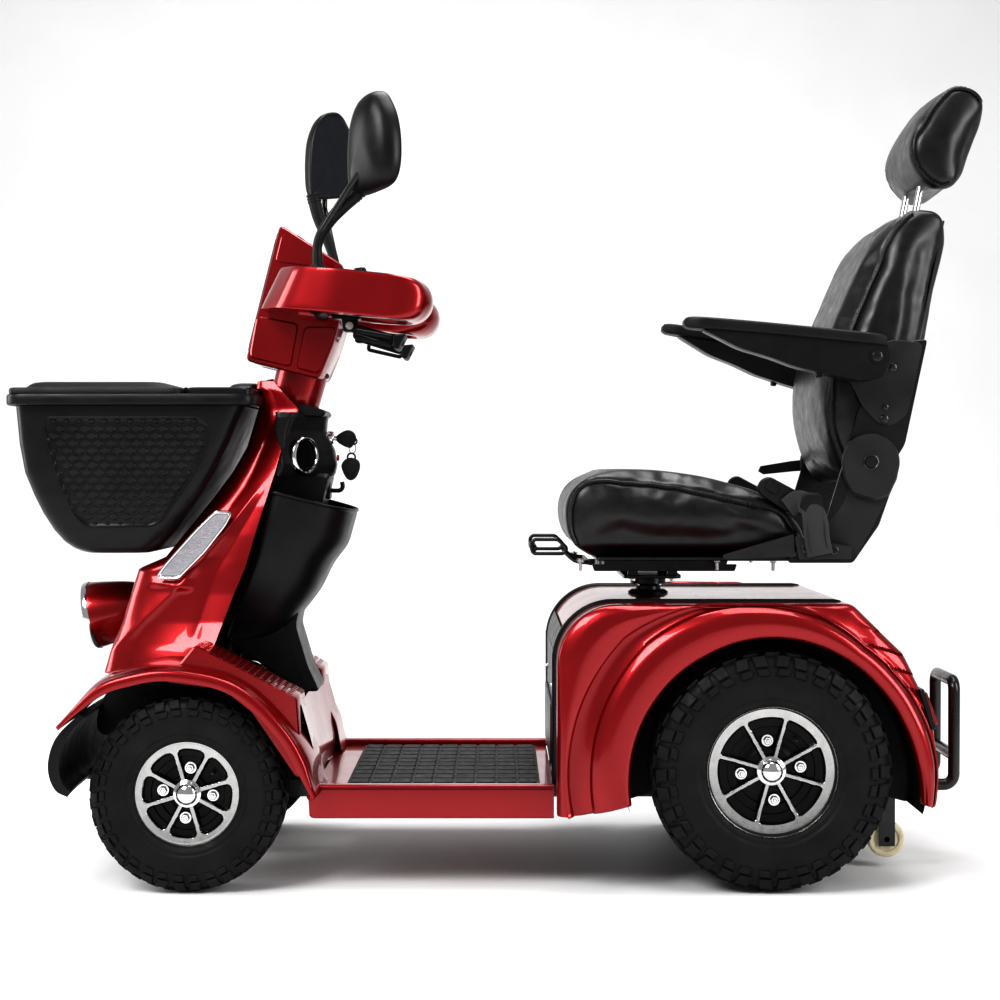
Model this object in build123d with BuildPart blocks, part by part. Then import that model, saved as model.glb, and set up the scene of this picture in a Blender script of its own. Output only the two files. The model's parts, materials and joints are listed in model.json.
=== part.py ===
from build123d import *
import os
from math import cos, radians, sin

# Mobility scooter, four wheels. Millimetres. It faces -X, its left side is -Y, and +Z is up.
# The origin is on the ground under the middle of the whole machine.

# ---- Driving dimensions -------------------------------------------------------------------
FRONT_AXLE_X = -528.0
REAR_AXLE_X = 446.0
FRONT_TYRE_R = 165.0
FRONT_TYRE_W = 110.0
REAR_TYRE_R = 203.0
REAR_TYRE_W = 130.0
FRONT_RIM_R = 88.0
REAR_RIM_R = 106.0
FRONT_WHEEL_Y = 275.0
REAR_WHEEL_Y = 270.0
KINGPIN_Y = 212.0
KINGPIN_R = 10.0
STUB_END_Y = 294.0
HALF_WIDTH = 338.0

RAIL_Y = 100.0
RAIL_WIDTH = 30.0
RAIL_LOW = 128.0
RAIL_HIGH = 158.0

STEER_LEAN = 15.0
STEER_POINT = (-372.0, 0.0, 859.0)
STEER_DIR = (sin(radians(STEER_LEAN)), 0.0, cos(radians(STEER_LEAN)))
STEER_REARWARD = (cos(radians(STEER_LEAN)), 0.0, -sin(radians(STEER_LEAN)))
COLUMN_R = 17.0
PITMAN_LENGTH = 54.0
STEER_ARM_LENGTH = 60.0
TIE_ROD_X = FRONT_AXLE_X + STEER_ARM_LENGTH
TIE_ROD_Z = 194.0

DECK_Z = 165.0
MAT_Z = 172.0
SILL_Y = 290.0
WALL = 4.0

SEAT_POST_X = 263.0
SEAT_POST_R = 23.0
SEAT_WIDTH = 240.0
CUSHION_BASE_Z = 563.0
RECLINE_X = 623.5
RECLINE_Z = 718.0
ARM_PIVOT_X = 624.0
ARM_PIVOT_Z = 895.0
RIGHT_ARM_LIFT = 5.0
PIN_R = 8.0

ARCH_X = -535.0
ARCH_Z = 160.0
ARCH_R = 200.0
FENDER_FROM = -10.0
FENDER_TO = 150.0
SHROUD_Y = 165.0
CONSOLE_Y = 140.0
COLUMN_COVER_Y = 60.0
BIN_Y = 145.0
BASKET_Y = 210.0
LID_HINGE_X = -549.0
LID_HINGE_Z = 842.0
REAR_ARCH_R = 216.0
WHEELHOUSE_Y = 194.0
REAR_DECK_Z = 481.0
ANTI_TIP_X = 677.0
ANTI_TIP_Z = 52.0
ANTI_TIP_R = 33.0
ANTI_TIP_Y = 100.0
BUMPER_X = 804.0
SLIDE_Y = 80.0
BUMPER_Y = 75.0
BUMPER_TUBE_R = 10.5
HEAD_Y = 95.0
GUARD_Y = 265.0
GUARD_SLOPE = 6.0
LEVER_X = -268.0
LEVER_Z = 955.0
LEVER_Y = 146.0

MIRROR_T = 11.0
MIRROR_HALF_WIDTH = 58.0
MIRROR_HALF_HEIGHT = 86.0

FIT = 0.05

os.makedirs("parts", exist_ok=True)


# ---- Helpers ------------------------------------------------------------------------------
def finish(piece, name):
    """Label a finished piece and write it as its own STEP file."""
    piece.part.label = name
    export_step(piece.part, f"parts/{name}.step")


def side_view(y):
    """The plane seen from the scooter's left side: local x is X, local y is Z."""
    return Plane.XZ.offset(-y)


def slab(outline, y_low, y_high, corner=0.0):
    """A side-view outline extruded from y_low to y_high, its corners rounded."""
    with BuildPart() as body:
        with BuildSketch(side_view(y_high)) as face:
            with BuildLine():
                Polyline(*outline, close=True)
            make_face()
            if corner:
                fillet(face.vertices(), corner)
        extrude(amount=y_high - y_low)
    return body.part


def bar(start, end, radius):
    """A round bar between two points."""
    along = Vector(*end) - Vector(*start)
    with BuildPart() as body:
        with BuildSketch(Plane(origin=start, z_dir=tuple(along))):
            Circle(radius)
        extrude(amount=along.length)
    return body.part


def pin_y(x, z, y_low, y_high, radius):
    """A round pin along Y."""
    return bar((x, y_low, z), (x, y_high, z), radius)


def block(x_low, x_high, y_low, y_high, z_low, z_high):
    """A plain rectangular block between two corners."""
    with BuildPart() as body:
        with BuildSketch(Plane.XY.offset(z_low)):
            with Locations(((x_low + x_high) / 2, (y_low + y_high) / 2)):
                Rectangle(x_high - x_low, y_high - y_low)
        extrude(amount=z_high - z_low)
    return body.part


def steer_at(distance):
    """A point on the steering axis, by its distance above STEER_POINT."""
    return tuple(p + distance * d for p, d in zip(STEER_POINT, STEER_DIR))


def steer_plane(distance):
    """The plane square to the steering axis; local x points to the rear."""
    return Plane(origin=steer_at(distance), x_dir=STEER_REARWARD, z_dir=STEER_DIR)


# ---- Wheels -------------------------------------------------------------------------------
def wheel(name, x, side, wheel_y, tyre_r, tyre_w, rim_r, shaft_r, shaft_in, nut_ring):
    """Tyre, rim, and hub with its lug nuts, written as three nodes."""
    centre = (x, side * wheel_y, tyre_r)
    section = Plane(origin=centre, x_dir=(1, 0, 0), z_dir=(0, 0, side))
    face = Plane(origin=centre, x_dir=(1, 0, 0), z_dir=(0, side, 0))
    axle = Axis(centre, (0, 1, 0))
    height = tyre_r - rim_r
    half = tyre_w / 2

    with BuildPart() as tyre:
        with BuildSketch(section) as carcass:
            with BuildLine():
                right = [
                    (rim_r, 0.78 * half),
                    (rim_r + 0.2 * height, 0.94 * half),
                    (rim_r + 0.5 * height, half),
                    (tyre_r - 0.1 * height, 0.84 * half),
                    (tyre_r, 0.56 * half),
                ]
                left = [(r, -y) for r, y in reversed(right)]
                Polyline(*right, *left, close=True)
            make_face()
        revolve(axis=axle)
    finish(tyre, f"{name}_tyre")

    disc_low = 0.42 * half
    disc_high = disc_low + 9
    spoke_in = 0.40 * rim_r
    spoke_out = 0.84 * rim_r
    with BuildPart() as rim:
        with BuildSketch(section):
            with BuildLine():
                Polyline(
                    (rim_r - FIT, -0.78 * half),
                    (rim_r - FIT, 0.78 * half),
                    (rim_r + 7, 0.97 * half),
                    (rim_r + 2, 0.99 * half),
                    (rim_r - 8, 0.72 * half),
                    (rim_r - 8, -0.78 * half),
                    close=True,
                )
            make_face()
        revolve(axis=axle)
        with BuildSketch(face.offset(disc_low)):
            Circle(rim_r - 7)
            with PolarLocations(0, 8, start_angle=22.5):
                Polygon(
                    (spoke_in, -5),
                    (spoke_out, -0.31 * rim_r),
                    (spoke_out + 3, 0),
                    (spoke_out, 0.31 * rim_r),
                    (spoke_in, 5),
                    align=None,
                    mode=Mode.SUBTRACT,
                )
            Circle(21, mode=Mode.SUBTRACT)
        extrude(amount=disc_high - disc_low)
    finish(rim, f"{name}_rim")

    with BuildPart() as hub:
        with BuildSketch(face.offset(disc_low - 14)):
            Circle(21 - FIT)
        extrude(amount=disc_high - disc_low + 14)
        with BuildSketch(face.offset(disc_high)):
            Circle(18)
        extrude(amount=16)
        chamfer(hub.faces().sort_by(Axis.Y)[0 if side < 0 else -1].edges(), 6)
        if shaft_in:
            with BuildSketch(face.offset(disc_low - 14)):
                Circle(shaft_r)
            extrude(amount=-shaft_in)
        else:
            with BuildSketch(face.offset(disc_low - 14)):
                Circle(shaft_r + FIT)
            extrude(amount=26, mode=Mode.SUBTRACT)
        with BuildSketch(face.offset(disc_high)):
            with PolarLocations(nut_ring, 4, start_angle=45):
                RegularPolygon(7.5, 6)
        extrude(amount=8)
    finish(hub, f"{name}_hub")


def wheels():
    for side, hand in ((-1, "left"), (1, "right")):
        wheel(
            f"front_{hand}", FRONT_AXLE_X, side, FRONT_WHEEL_Y, FRONT_TYRE_R,
            FRONT_TYRE_W, FRONT_RIM_R, KINGPIN_R, 0, 28,
        )
        wheel(
            f"rear_{hand}", REAR_AXLE_X, side, REAR_WHEEL_Y, REAR_TYRE_R,
            REAR_TYRE_W, REAR_RIM_R, 12, 120, 32,
        )


MIRROR_STALKS = (
    ((-318, -212, 990), (-318, -216, 1100), (-262, -248, 1180), (-230, -266, 1222)),
    ((-318, 212, 990), (-324, 220, 1110), (-349, 261, 1215), (-348, 262, 1278)),
)


# ---- Front axle and steering --------------------------------------------------------------
def knuckles():
    """A yoke round the frame's kingpin boss, with its stub axle and steering arm."""
    axle_z = FRONT_TYRE_R
    for side, hand in ((-1, "left"), (1, "right")):
        y_in, y_out = sorted((side * (KINGPIN_Y - 16), side * (KINGPIN_Y + 33)))
        plate = sorted((side * (KINGPIN_Y + 19), side * (KINGPIN_Y + 33)))
        arm = sorted((side * (KINGPIN_Y - 9), side * (KINGPIN_Y + 9)))
        with BuildPart() as knuckle:
            add(block(FRONT_AXLE_X - 16, FRONT_AXLE_X + 16, y_in, y_out, 192, 206))
            add(block(FRONT_AXLE_X - 16, FRONT_AXLE_X + 16, y_in, y_out, 124, 138))
            add(block(FRONT_AXLE_X - 16, FRONT_AXLE_X + 16, *plate, 124, 206))
            add(block(FRONT_AXLE_X - 12, TIE_ROD_X + 9, *arm, 205, 213))
            add(bar((FRONT_AXLE_X, side * KINGPIN_Y, 124), (FRONT_AXLE_X, side * KINGPIN_Y, 206), KINGPIN_R))
            add(bar((TIE_ROD_X, side * KINGPIN_Y, 182), (TIE_ROD_X, side * KINGPIN_Y, 206), 4))
            add(pin_y(FRONT_AXLE_X, axle_z, *sorted((side * (KINGPIN_Y + 26), side * STUB_END_Y)), KINGPIN_R))
        finish(knuckle, f"steering_knuckle_{hand}")


def tie_rod():
    with BuildPart() as rod:
        add(pin_y(TIE_ROD_X, TIE_ROD_Z, -KINGPIN_Y + 13, KINGPIN_Y - 13, 5.5))
        for side in (-1, 1):
            add(bar((TIE_ROD_X, side * KINGPIN_Y, TIE_ROD_Z - 6), (TIE_ROD_X, side * KINGPIN_Y, TIE_ROD_Z + 6), 15))
        add(block(TIE_ROD_X - 49, TIE_ROD_X + 4, -17, 17, TIE_ROD_Z - 4, TIE_ROD_Z + 4))
        for side in (-1, 1):
            eye = (TIE_ROD_X, side * KINGPIN_Y, TIE_ROD_Z)
            add(bar((*eye[:2], eye[2] - 9), (*eye[:2], eye[2] + 9), 11.5), mode=Mode.SUBTRACT)
        add(block(TIE_ROD_X - 42, TIE_ROD_X - 17, -7.5, 7.5, TIE_ROD_Z - 9, TIE_ROD_Z + 9), mode=Mode.SUBTRACT)
    finish(rod, "tie_rod")


def steering_column():
    """The shaft in the head tube, its drop arm below and its handlebar stem above."""
    foot, top = -640.0, 150.0
    with BuildPart() as column:
        with BuildSketch(steer_plane(foot)):
            Circle(COLUMN_R)
        extrude(amount=top - foot)
        with BuildSketch(steer_plane(foot - 12)):
            with Locations((PITMAN_LENGTH / 2, 0)):
                SlotCenterToCenter(PITMAN_LENGTH, 2 * 10)
            Circle(COLUMN_R)
        extrude(amount=14)
        with BuildSketch(steer_plane(foot - 42)):
            with Locations((PITMAN_LENGTH, 0)):
                Circle(5)
        extrude(amount=32)
        add(pin_y(steer_at(top - 20)[0] + 20, steer_at(top - 20)[2], -245, 245, 11))
        for stalk in MIRROR_STALKS:
            for low, high in zip(stalk, stalk[1:]):
                add(bar(low, high, 5.5))
            with Locations(*stalk):
                Sphere(5.5)
    finish(column, "steering_column")


# ---- Frame and what stands on it ----------------------------------------------------------
def main_frame():
    """Ladder frame with the front axle beam, the head tube and the seat tower."""
    rail_in = RAIL_Y - RAIL_WIDTH / 2
    rail_out = RAIL_Y + RAIL_WIDTH / 2
    with BuildPart() as frame:
        for side in (-1, 1):
            rail = sorted((side * rail_in, side * rail_out))
            add(block(-660, 704, *rail, RAIL_LOW, RAIL_HIGH))
            web = sorted((side * 50, side * 58))
            add(slab([(-600, 150), (-483, 150), (-476, 340), (-545, 340)], *web))
            for x in (98, 322):
                leg = sorted((side * 30, side * 52))
                add(block(x, x + 14, *leg, RAIL_LOW, 350))
        for x in (-660, -600, -330, 98, 322, 560, 679):
            add(block(x, x + 25, -rail_in - 1, rail_in + 1, RAIL_LOW, RAIL_HIGH))
        add(block(FRONT_AXLE_X - 14, FRONT_AXLE_X + 14, -KINGPIN_Y, KINGPIN_Y, 150, 180))
        add(block(-556, -478, -55, 55, 290, 335))
        add(block(98, 336, -52, 52, 342, 352))
        add(block(330, 505, -50, 50, 292, 299.5))
        for side in (-1, 1):
            add(block(114, 310, *sorted((side * 56, side * 184)), RAIL_HIGH - 1, RAIL_HIGH + 7.5))
            for y in (86, 114):
                cheek = sorted((side * (y - 2), side * (y + 2)))
                add(block(663, 691, *cheek, ANTI_TIP_Z - 12, RAIL_LOW + 1))
            add(pin_y(ANTI_TIP_X, ANTI_TIP_Z, *sorted((side * 84, side * 116)), 5))
        for x in (-250, 30):
            add(block(x, x + 30, -262, 262, RAIL_LOW + 5, RAIL_HIGH - 2))
        for side in (-1, 1):
            boss = (FRONT_AXLE_X, side * KINGPIN_Y)
            add(bar((*boss, 140), (*boss, 190), 17))
        with BuildSketch(steer_plane(-600)):
            Circle(26)
        extrude(amount=520)
        add(bar((SEAT_POST_X, 0, 346), (SEAT_POST_X, 0, 455), 31))
        with BuildSketch(steer_plane(-660)):
            Circle(COLUMN_R + FIT)
        extrude(amount=600, mode=Mode.SUBTRACT)
        add(bar((SEAT_POST_X, 0, 358), (SEAT_POST_X, 0, 470), SEAT_POST_R + FIT), mode=Mode.SUBTRACT)
        for side in (-1, 1):
            boss = (FRONT_AXLE_X, side * KINGPIN_Y)
            add(bar((*boss, 130), (*boss, 200), KINGPIN_R + FIT), mode=Mode.SUBTRACT)
    finish(frame, "main_frame")


def transaxle():
    """Gear casing, motor and the two axle tubes."""
    with BuildPart() as axle:
        z = REAR_TYRE_R
        add(pin_y(REAR_AXLE_X, z, -55, 55, 62))
        add(pin_y(REAR_AXLE_X, z, -186, 186, 22))
        add(pin_y(REAR_AXLE_X + 95, z + 28, -70, 70, 44))
        add(block(REAR_AXLE_X, REAR_AXLE_X + 95, -45, 45, z - 10, z + 40))
        for side in (-1, 1):
            foot = sorted((side * (RAIL_Y - 12), side * (RAIL_Y + 12)))
            add(block(REAR_AXLE_X - 20, REAR_AXLE_X + 20, *foot, RAIL_HIGH, z))
        add(pin_y(REAR_AXLE_X, z, -200, 200, 12 + FIT), mode=Mode.SUBTRACT)
    finish(axle, "transaxle")


def batteries():
    with BuildPart() as pair:
        for side in (-1, 1):
            add(block(120, 304, *sorted((side * 60, side * 180)), RAIL_HIGH + 8, RAIL_HIGH + 168))
            for x in (145, 278):
                add(bar((x, side * 120, RAIL_HIGH + 160), (x, side * 120, RAIL_HIGH + 180), 8))
    finish(pair, "batteries")


def controller():
    with BuildPart() as unit:
        add(block(352, 500, -58, 58, 300, 345))
        for row in range(6):
            y = -45 + 18 * row
            add(block(356, 496, y - 2, y + 2, 344, 356))
    finish(unit, "motor_controller")


# ---- Floor --------------------------------------------------------------------------------
def floor_tray():
    """The step-through floor: a thin tray with raised sills and a sloping front wall."""
    with BuildPart() as tray:
        add(block(-322, 84, -SILL_Y + 6, SILL_Y - 6, 159, DECK_Z))
        for side in (-1, 1):
            sill = sorted((side * (SILL_Y - 24), side * SILL_Y))
            add(slab([(-311, 119), (84, 119), (84, 177), (-316, 177)], *sill))
            groove = sorted((side * (SILL_Y - 19), side * (SILL_Y - 5)))
            add(slab([(-330, 100), (90, 100), (90, 154), (-330, 154)], *groove), mode=Mode.SUBTRACT)
        add(slab([(-322, 159), (-316, 159), (-318, 199), (-342, 306), (-348, 304), (-325, 199)], -250, 250))
    finish(tray, "floor_tray")


def floor_mat():
    """Rubber mat with raised blocks."""
    with BuildPart() as mat:
        add(block(-268, 62, -232, 232, DECK_Z, DECK_Z + 4))
        with BuildSketch(Plane.XY.offset(DECK_Z + 3)):
            with Locations((-103, 0)):
                with GridLocations(36, 46, 9, 10):
                    RectangleRounded(30, 39, 4)
        extrude(amount=MAT_Z - DECK_Z - 3)
    finish(mat, "floor_mat")


# ---- Front body ---------------------------------------------------------------------------
STEP_OUTLINE = [(-560, 350), (-516, 412), (-346, 324), (-339, 197), (-345, 190), (-420, 300)]
SHROUD_OUTER = [
    (-404, 862), (-366, 806), (-389, 745), (-408, 673), (-428, 607), (-444, 551), (-477, 468),
    (-500, 400), (-545, 350), (-700, 345), (-668, 440), (-641, 532), (-594, 552), (-480, 700),
    (-424, 790), (-418, 852),
]


def front_shroud():
    """Red front body, hollow, open at the back and at the bottom."""
    inner = [
        (-404, 850), (-371, 806), (-395, 745), (-414, 673), (-434, 607), (-450, 551), (-483, 468),
        (-506, 404), (-547, 330), (-692, 330), (-662, 440), (-637, 526), (-593, 546), (-475, 702),
        (-419, 792), (-413, 850),
    ]
    with BuildPart() as shroud:
        add(slab(SHROUD_OUTER, -SHROUD_Y, SHROUD_Y))
        chamfer(shroud.edges().filter_by(GeomType.LINE).filter_by_position(Axis.Y, -SHROUD_Y - 1, 1 - SHROUD_Y), 10)
        chamfer(shroud.edges().filter_by(GeomType.LINE).filter_by_position(Axis.Y, SHROUD_Y - 1, SHROUD_Y + 1), 10)
        add(slab(inner, 7 - SHROUD_Y, SHROUD_Y - 7), mode=Mode.SUBTRACT)
        add(slab([(-404, 850), (-340, 850), (-340, 700), (-470, 395), (-550, 325), (-510, 404)],
                 7 - SHROUD_Y, SHROUD_Y - 7), mode=Mode.SUBTRACT)
        with BuildSketch(steer_plane(-120)):
            Circle(30)
        extrude(amount=160, mode=Mode.SUBTRACT)
        add(block(-470, -330, -160, -45, 812, 900), mode=Mode.SUBTRACT)
        add(block(-470, -330, 45, 160, 812, 900), mode=Mode.SUBTRACT)
    finish(shroud, "front_shroud")


def front_fenders():
    """Front wheel arches: one revolved shell a side, with a ribbed step on its rear shoulder."""
    low = radians(FENDER_FROM)
    with BuildPart() as fenders:
        for side in (-1, 1):
            out = Vector(cos(low), 0, sin(low))
            across = Vector(0, side, 0)
            centre = (ARCH_X, 0, ARCH_Z)
            with BuildSketch(Plane(origin=centre, x_dir=out, z_dir=out.cross(across))):
                with BuildLine():
                    Polyline(
                        (ARCH_R, 340), (ARCH_R + 16, 340), (ARCH_R + 24, 334), (ARCH_R + 34, 310),
                        (ARCH_R + 40, 260), (ARCH_R + 40, 168), (ARCH_R + 36, 168), (ARCH_R + 36, 259),
                        (ARCH_R + 30, 308), (ARCH_R + 21, 331), (ARCH_R + 13, 336), (ARCH_R, 336),
                        close=True,
                    )
                make_face()
            revolve(axis=Axis(centre, (0, -1, 0)), revolution_arc=FENDER_TO - FENDER_FROM)
            span = sorted((side * 172, side * 300))
            add(slab(STEP_OUTLINE, *span))
            for rib in range(7):
                x = -500 + 24 * rib
                top = 412 - 0.517 * (x + 516)
                add(block(x, x + 10, *span, top - 12, top + 5))
        for side in (-1, 1):
            add(pin_y(ARCH_X, ARCH_Z, *sorted((side * 160, side * 301)), ARCH_R + 30), mode=Mode.SUBTRACT)
        add(slab([(-357, 345), (-331, 199), (-328, 90), (-200, 90), (-200, 345)], -291, 291), mode=Mode.SUBTRACT)
    finish(fenders, "front_fenders")


def front_bumper():
    """Black front valance on two arms that lie on the frame rails."""
    outline = [
        (-768, 208), (-757, 246), (-733, 271), (-706, 295), (-698, 286), (-718, 262), (-736, 235),
        (-744, 206), (-737, 168), (-746, 150), (-760, 170),
    ]
    with BuildPart() as bumper:
        add(slab(outline, -290, 290))
        for side in (-1, 1):
            add(block(-745, -640, *sorted((side * 88, side * 112)), 158.3, 172))
    finish(bumper, "front_bumper")


def headlight():
    """Round lamp bowl on the nose, and its lens."""
    face = Plane(origin=(-742, 0, 441), x_dir=(0, 1, 0), z_dir=(-0.98, 0, -0.2))
    behind = [(-703, 335), (-671, 440), (-644, 530), (-560, 620), (-500, 335)]
    with BuildPart() as bowl:
        with BuildSketch(face):
            Circle(60)
        extrude(amount=-95, taper=6)
        with BuildSketch(face):
            Circle(52)
        extrude(amount=-30, mode=Mode.SUBTRACT)
        add(slab(behind, -90, 90), mode=Mode.SUBTRACT)
    finish(bowl, "headlight_housing")
    with BuildPart() as lens:
        with BuildSketch(face.offset(-8)):
            Circle(51.7)
        extrude(amount=14)
        fillet(lens.edges().sort_by(Axis.X)[:1], 6)
    finish(lens, "headlight_lens")


def turn_signals():
    outline = [
        (-500, 631), (-473, 630), (-484, 609), (-520, 563), (-565, 518), (-600, 520), (-586, 540), (-534, 598),
    ]
    with BuildPart() as lamps:
        for side in (-1, 1):
            add(slab(outline, *sorted((side * (SHROUD_Y + 0.3), side * (SHROUD_Y + 8))), corner=8))
    finish(lamps, "turn_signals")


def console():
    """Black cover behind the red shroud, with the key switch and the bag hook."""
    upper = [
        (-361, 806), (-319, 806), (-322, 775), (-307, 740), (-303, 715), (-309, 694), (-399, 700),
        (-384, 745),
    ]
    upper_inside = [
        (-357, 801), (-324, 801), (-327, 774), (-312, 739), (-308, 715), (-316, 685), (-415, 690),
        (-390, 745),
    ]
    lower = [
        (-403, 705), (-311, 698), (-330, 620), (-372, 424), (-334, 307), (-360, 307), (-470, 380),
        (-494, 402), (-471, 468), (-438, 551), (-422, 607),
    ]
    lower_inside = [
        (-404, 720), (-314, 712), (-335, 620), (-377, 424), (-349, 335), (-470, 390), (-530, 380),
        (-480, 468), (-448, 551), (-432, 607),
    ]
    with BuildPart() as cover:
        add(slab(upper, -CONSOLE_Y, CONSOLE_Y))
        with BuildSketch(Plane.XY.offset(650)):
            for side in (-1, 1):
                Polygon((-304, side * 30), (-370, side * 146), (-200, side * 146), (-200, side * 30), align=None)
        extrude(amount=200, mode=Mode.SUBTRACT)
        add(slab(lower, -COLUMN_COVER_Y, COLUMN_COVER_Y))
        add(slab(upper_inside, -28, 28), mode=Mode.SUBTRACT)
        add(slab(lower_inside, WALL - COLUMN_COVER_Y, COLUMN_COVER_Y - WALL), mode=Mode.SUBTRACT)
        with BuildSketch(steer_plane(-560)):
            Circle(29)
        extrude(amount=620, mode=Mode.SUBTRACT)
        add(bar((-330, 0, 762), (-309, 0, 762), 11))
        add(bar((-330, 0, 668), (-298, 0, 668), 5))
        add(bar((-300, 0, 666), (-300, 0, 680), 4))
    finish(cover, "console_cover")
    with BuildPart() as ring:
        face = Plane(origin=(-337.7, -90, 732), x_dir=(0, 0, 1), z_dir=(0.87, -0.495, 0))
        with BuildSketch(face.offset(1)):
            Circle(34)
            Circle(27, mode=Mode.SUBTRACT)
        extrude(amount=7)
    finish(ring, "speaker_ring")


def storage_bin():
    """Open bin that wraps round the back of the steering column cover."""
    outer = [
        (-403, 662), (-268, 628), (-276, 598), (-286, 568), (-311, 533), (-334, 488), (-361, 452),
        (-384, 425), (-430, 404), (-492, 406), (-471, 468), (-438, 551), (-422, 607),
    ]
    inner = [
        (-390, 700), (-260, 660), (-281, 598), (-291, 570), (-316, 536), (-339, 491), (-365, 456),
        (-387, 430), (-431, 409), (-485, 411), (-465, 468), (-432, 551), (-416, 607),
    ]
    column = [
        (-404, 720), (-300, 720), (-326, 620), (-371, 424), (-334, 307), (-520, 307), (-520, 402),
        (-480, 468), (-448, 551), (-432, 607),
    ]
    with BuildPart() as bin_shell:
        add(slab(outer, -BIN_Y, BIN_Y))
        add(slab(inner, WALL - BIN_Y, BIN_Y - WALL), mode=Mode.SUBTRACT)
        add(slab(column, -COLUMN_COVER_Y - 0.4, COLUMN_COVER_Y + 0.4), mode=Mode.SUBTRACT)
    finish(bin_shell, "storage_bin")


# ---- Basket -------------------------------------------------------------------------------
BASKET_RINGS = [(560, -744, -606, 160), (600, -784, -573, 176), (660, -812, -528, 190), (816, -841, -449, 204)]


def basket():
    """Hard front basket with a hinged lid."""
    with BuildPart() as shell:
        for z, x_low, x_high, half_y in BASKET_RINGS:
            with BuildSketch(Plane(origin=((x_low + x_high) / 2, 0, z))):
                RectangleRounded(x_high - x_low, 2 * half_y, 30)
        loft(ruled=True)
        with BuildSketch(Plane(origin=(-640.5, 0, 816))):
            RectangleRounded(431, 2 * BASKET_Y + 20, 30)
        extrude(amount=19)
    cavity = basket_cavity()
    with BuildPart() as body:
        add(shell.part)
        add(cavity, mode=Mode.SUBTRACT)
        add(block(LID_HINGE_X + 4, -432, -214, 214, 835, 846))
    finish(body, "basket_body")
    with BuildPart() as lid:
        with BuildSketch(Plane(origin=((-850 + LID_HINGE_X) / 2, 0, 835.5))):
            RectangleRounded(LID_HINGE_X - 1 + 850, 2 * BASKET_Y + 8, 12)
        extrude(amount=10)
        with BuildSketch(Plane(origin=(-706, 0, 845))):
            RectangleRounded(250, 340, 30)
        extrude(amount=12, taper=30)
    finish(lid, "basket_lid")


def basket_cavity():
    """The space inside the basket, open at the top."""
    with BuildPart() as space:
        for z, x_low, x_high, half_y in BASKET_RINGS:
            with BuildSketch(Plane(origin=((x_low + x_high) / 2, 0, z + 5))):
                RectangleRounded(x_high - x_low - 2 * WALL, 2 * (half_y - WALL), 26)
        loft(ruled=True)
        top = BASKET_RINGS[-1]
        with BuildSketch(Plane(origin=((top[1] + top[2]) / 2, 0, top[0] + 4))):
            RectangleRounded(top[2] - top[1] - 2 * WALL, 2 * (top[3] - WALL), 26)
        extrude(amount=40)
    return space.part


# ---- Rear body ----------------------------------------------------------------------------
def rear_outline(inset):
    """Side outline of the rear body, moved inwards by inset."""
    with BuildSketch(side_view(0)) as face:
        with BuildLine():
            Polyline(
                (88, 122), (88, 481), (582, 481), (627, 436), (668, 396), (698, 330), (718, 275), (723, 218),
                (716, 147), (640, 122), close=True,
            )
        make_face()
        fillet(face.vertices().group_by(Axis.X)[0].sort_by(Axis.Y)[-1], 100)
        if inset:
            offset(amount=-inset, mode=Mode.REPLACE)
    return face.sketch


def rear_shape(inset, half_width):
    with BuildPart() as shape:
        with BuildSketch(side_view(0)):
            add(rear_outline(inset))
        extrude(amount=half_width, both=True)
    return shape.part


def rear_body():
    """Red rear cover: seat box, deck and both rear fenders in one shell, open below."""
    with BuildPart() as wheelhouse:
        for side in (-1, 1):
            add(pin_y(REAR_AXLE_X, REAR_TYRE_R, *sorted((side * WHEELHOUSE_Y, side * 337)), REAR_ARCH_R + WALL))
        add(rear_shape(1, 337), mode=Mode.INTERSECT)
    with BuildPart() as body:
        add(rear_shape(0, HALF_WIDTH))
        fillet(body.edges().filter_by(Axis.X).filter_by_position(Axis.Z, 480, 482), 40)
        add(rear_shape(WALL, HALF_WIDTH - WALL), mode=Mode.SUBTRACT)
        add(wheelhouse.part)
        for side in (-1, 1):
            arch = sorted((side * (WHEELHOUSE_Y + WALL), side * 350))
            add(pin_y(REAR_AXLE_X, REAR_TYRE_R, *arch, REAR_ARCH_R), mode=Mode.SUBTRACT)
            hole = sorted((side * 180, side * 220))
            add(pin_y(REAR_AXLE_X, REAR_TYRE_R, *hole, 34), mode=Mode.SUBTRACT)
        add(block(92, 712, -190, 190, 90, 140), mode=Mode.SUBTRACT)
        add(block(92, 200, -334, 334, 90, 140), mode=Mode.SUBTRACT)
        add(block(600, 760, -130, 130, 90, 172), mode=Mode.SUBTRACT)
        add(block(70, 100, -120, 120, 90, 165), mode=Mode.SUBTRACT)
        add(block(200, 712, -360, 360, 60, 150), mode=Mode.SUBTRACT)
        add(bar((SEAT_POST_X, 0, 440), (SEAT_POST_X, 0, 500), 36), mode=Mode.SUBTRACT)
    finish(body, "rear_body")


def tail_lights():
    outline = [(699, 332), (719, 277), (725, 279), (705, 334)]
    with BuildPart() as lamps:
        for side in (-1, 1):
            add(slab(outline, *sorted((side * 190, side * 310))))
    finish(lamps, "tail_lights")


def rear_bumper():
    """Black tube hoop behind the body, on two tubes from the frame."""
    foot_z, bar_z, top_z = 143, 195, 328
    with BuildPart() as hoop:
        for side in (-1, 1):
            y = side * BUMPER_Y
            add(bar((705, y, foot_z), (BUMPER_X, y, foot_z), BUMPER_TUBE_R))
            add(bar((BUMPER_X, y, foot_z), (BUMPER_X, y, top_z), BUMPER_TUBE_R))
            for z in (foot_z, top_z):
                with Locations((BUMPER_X, y, z)):
                    Sphere(BUMPER_TUBE_R)
        for z in (bar_z, top_z):
            add(pin_y(BUMPER_X, z, -BUMPER_Y, BUMPER_Y, BUMPER_TUBE_R))
    finish(hoop, "rear_bumper")


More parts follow.
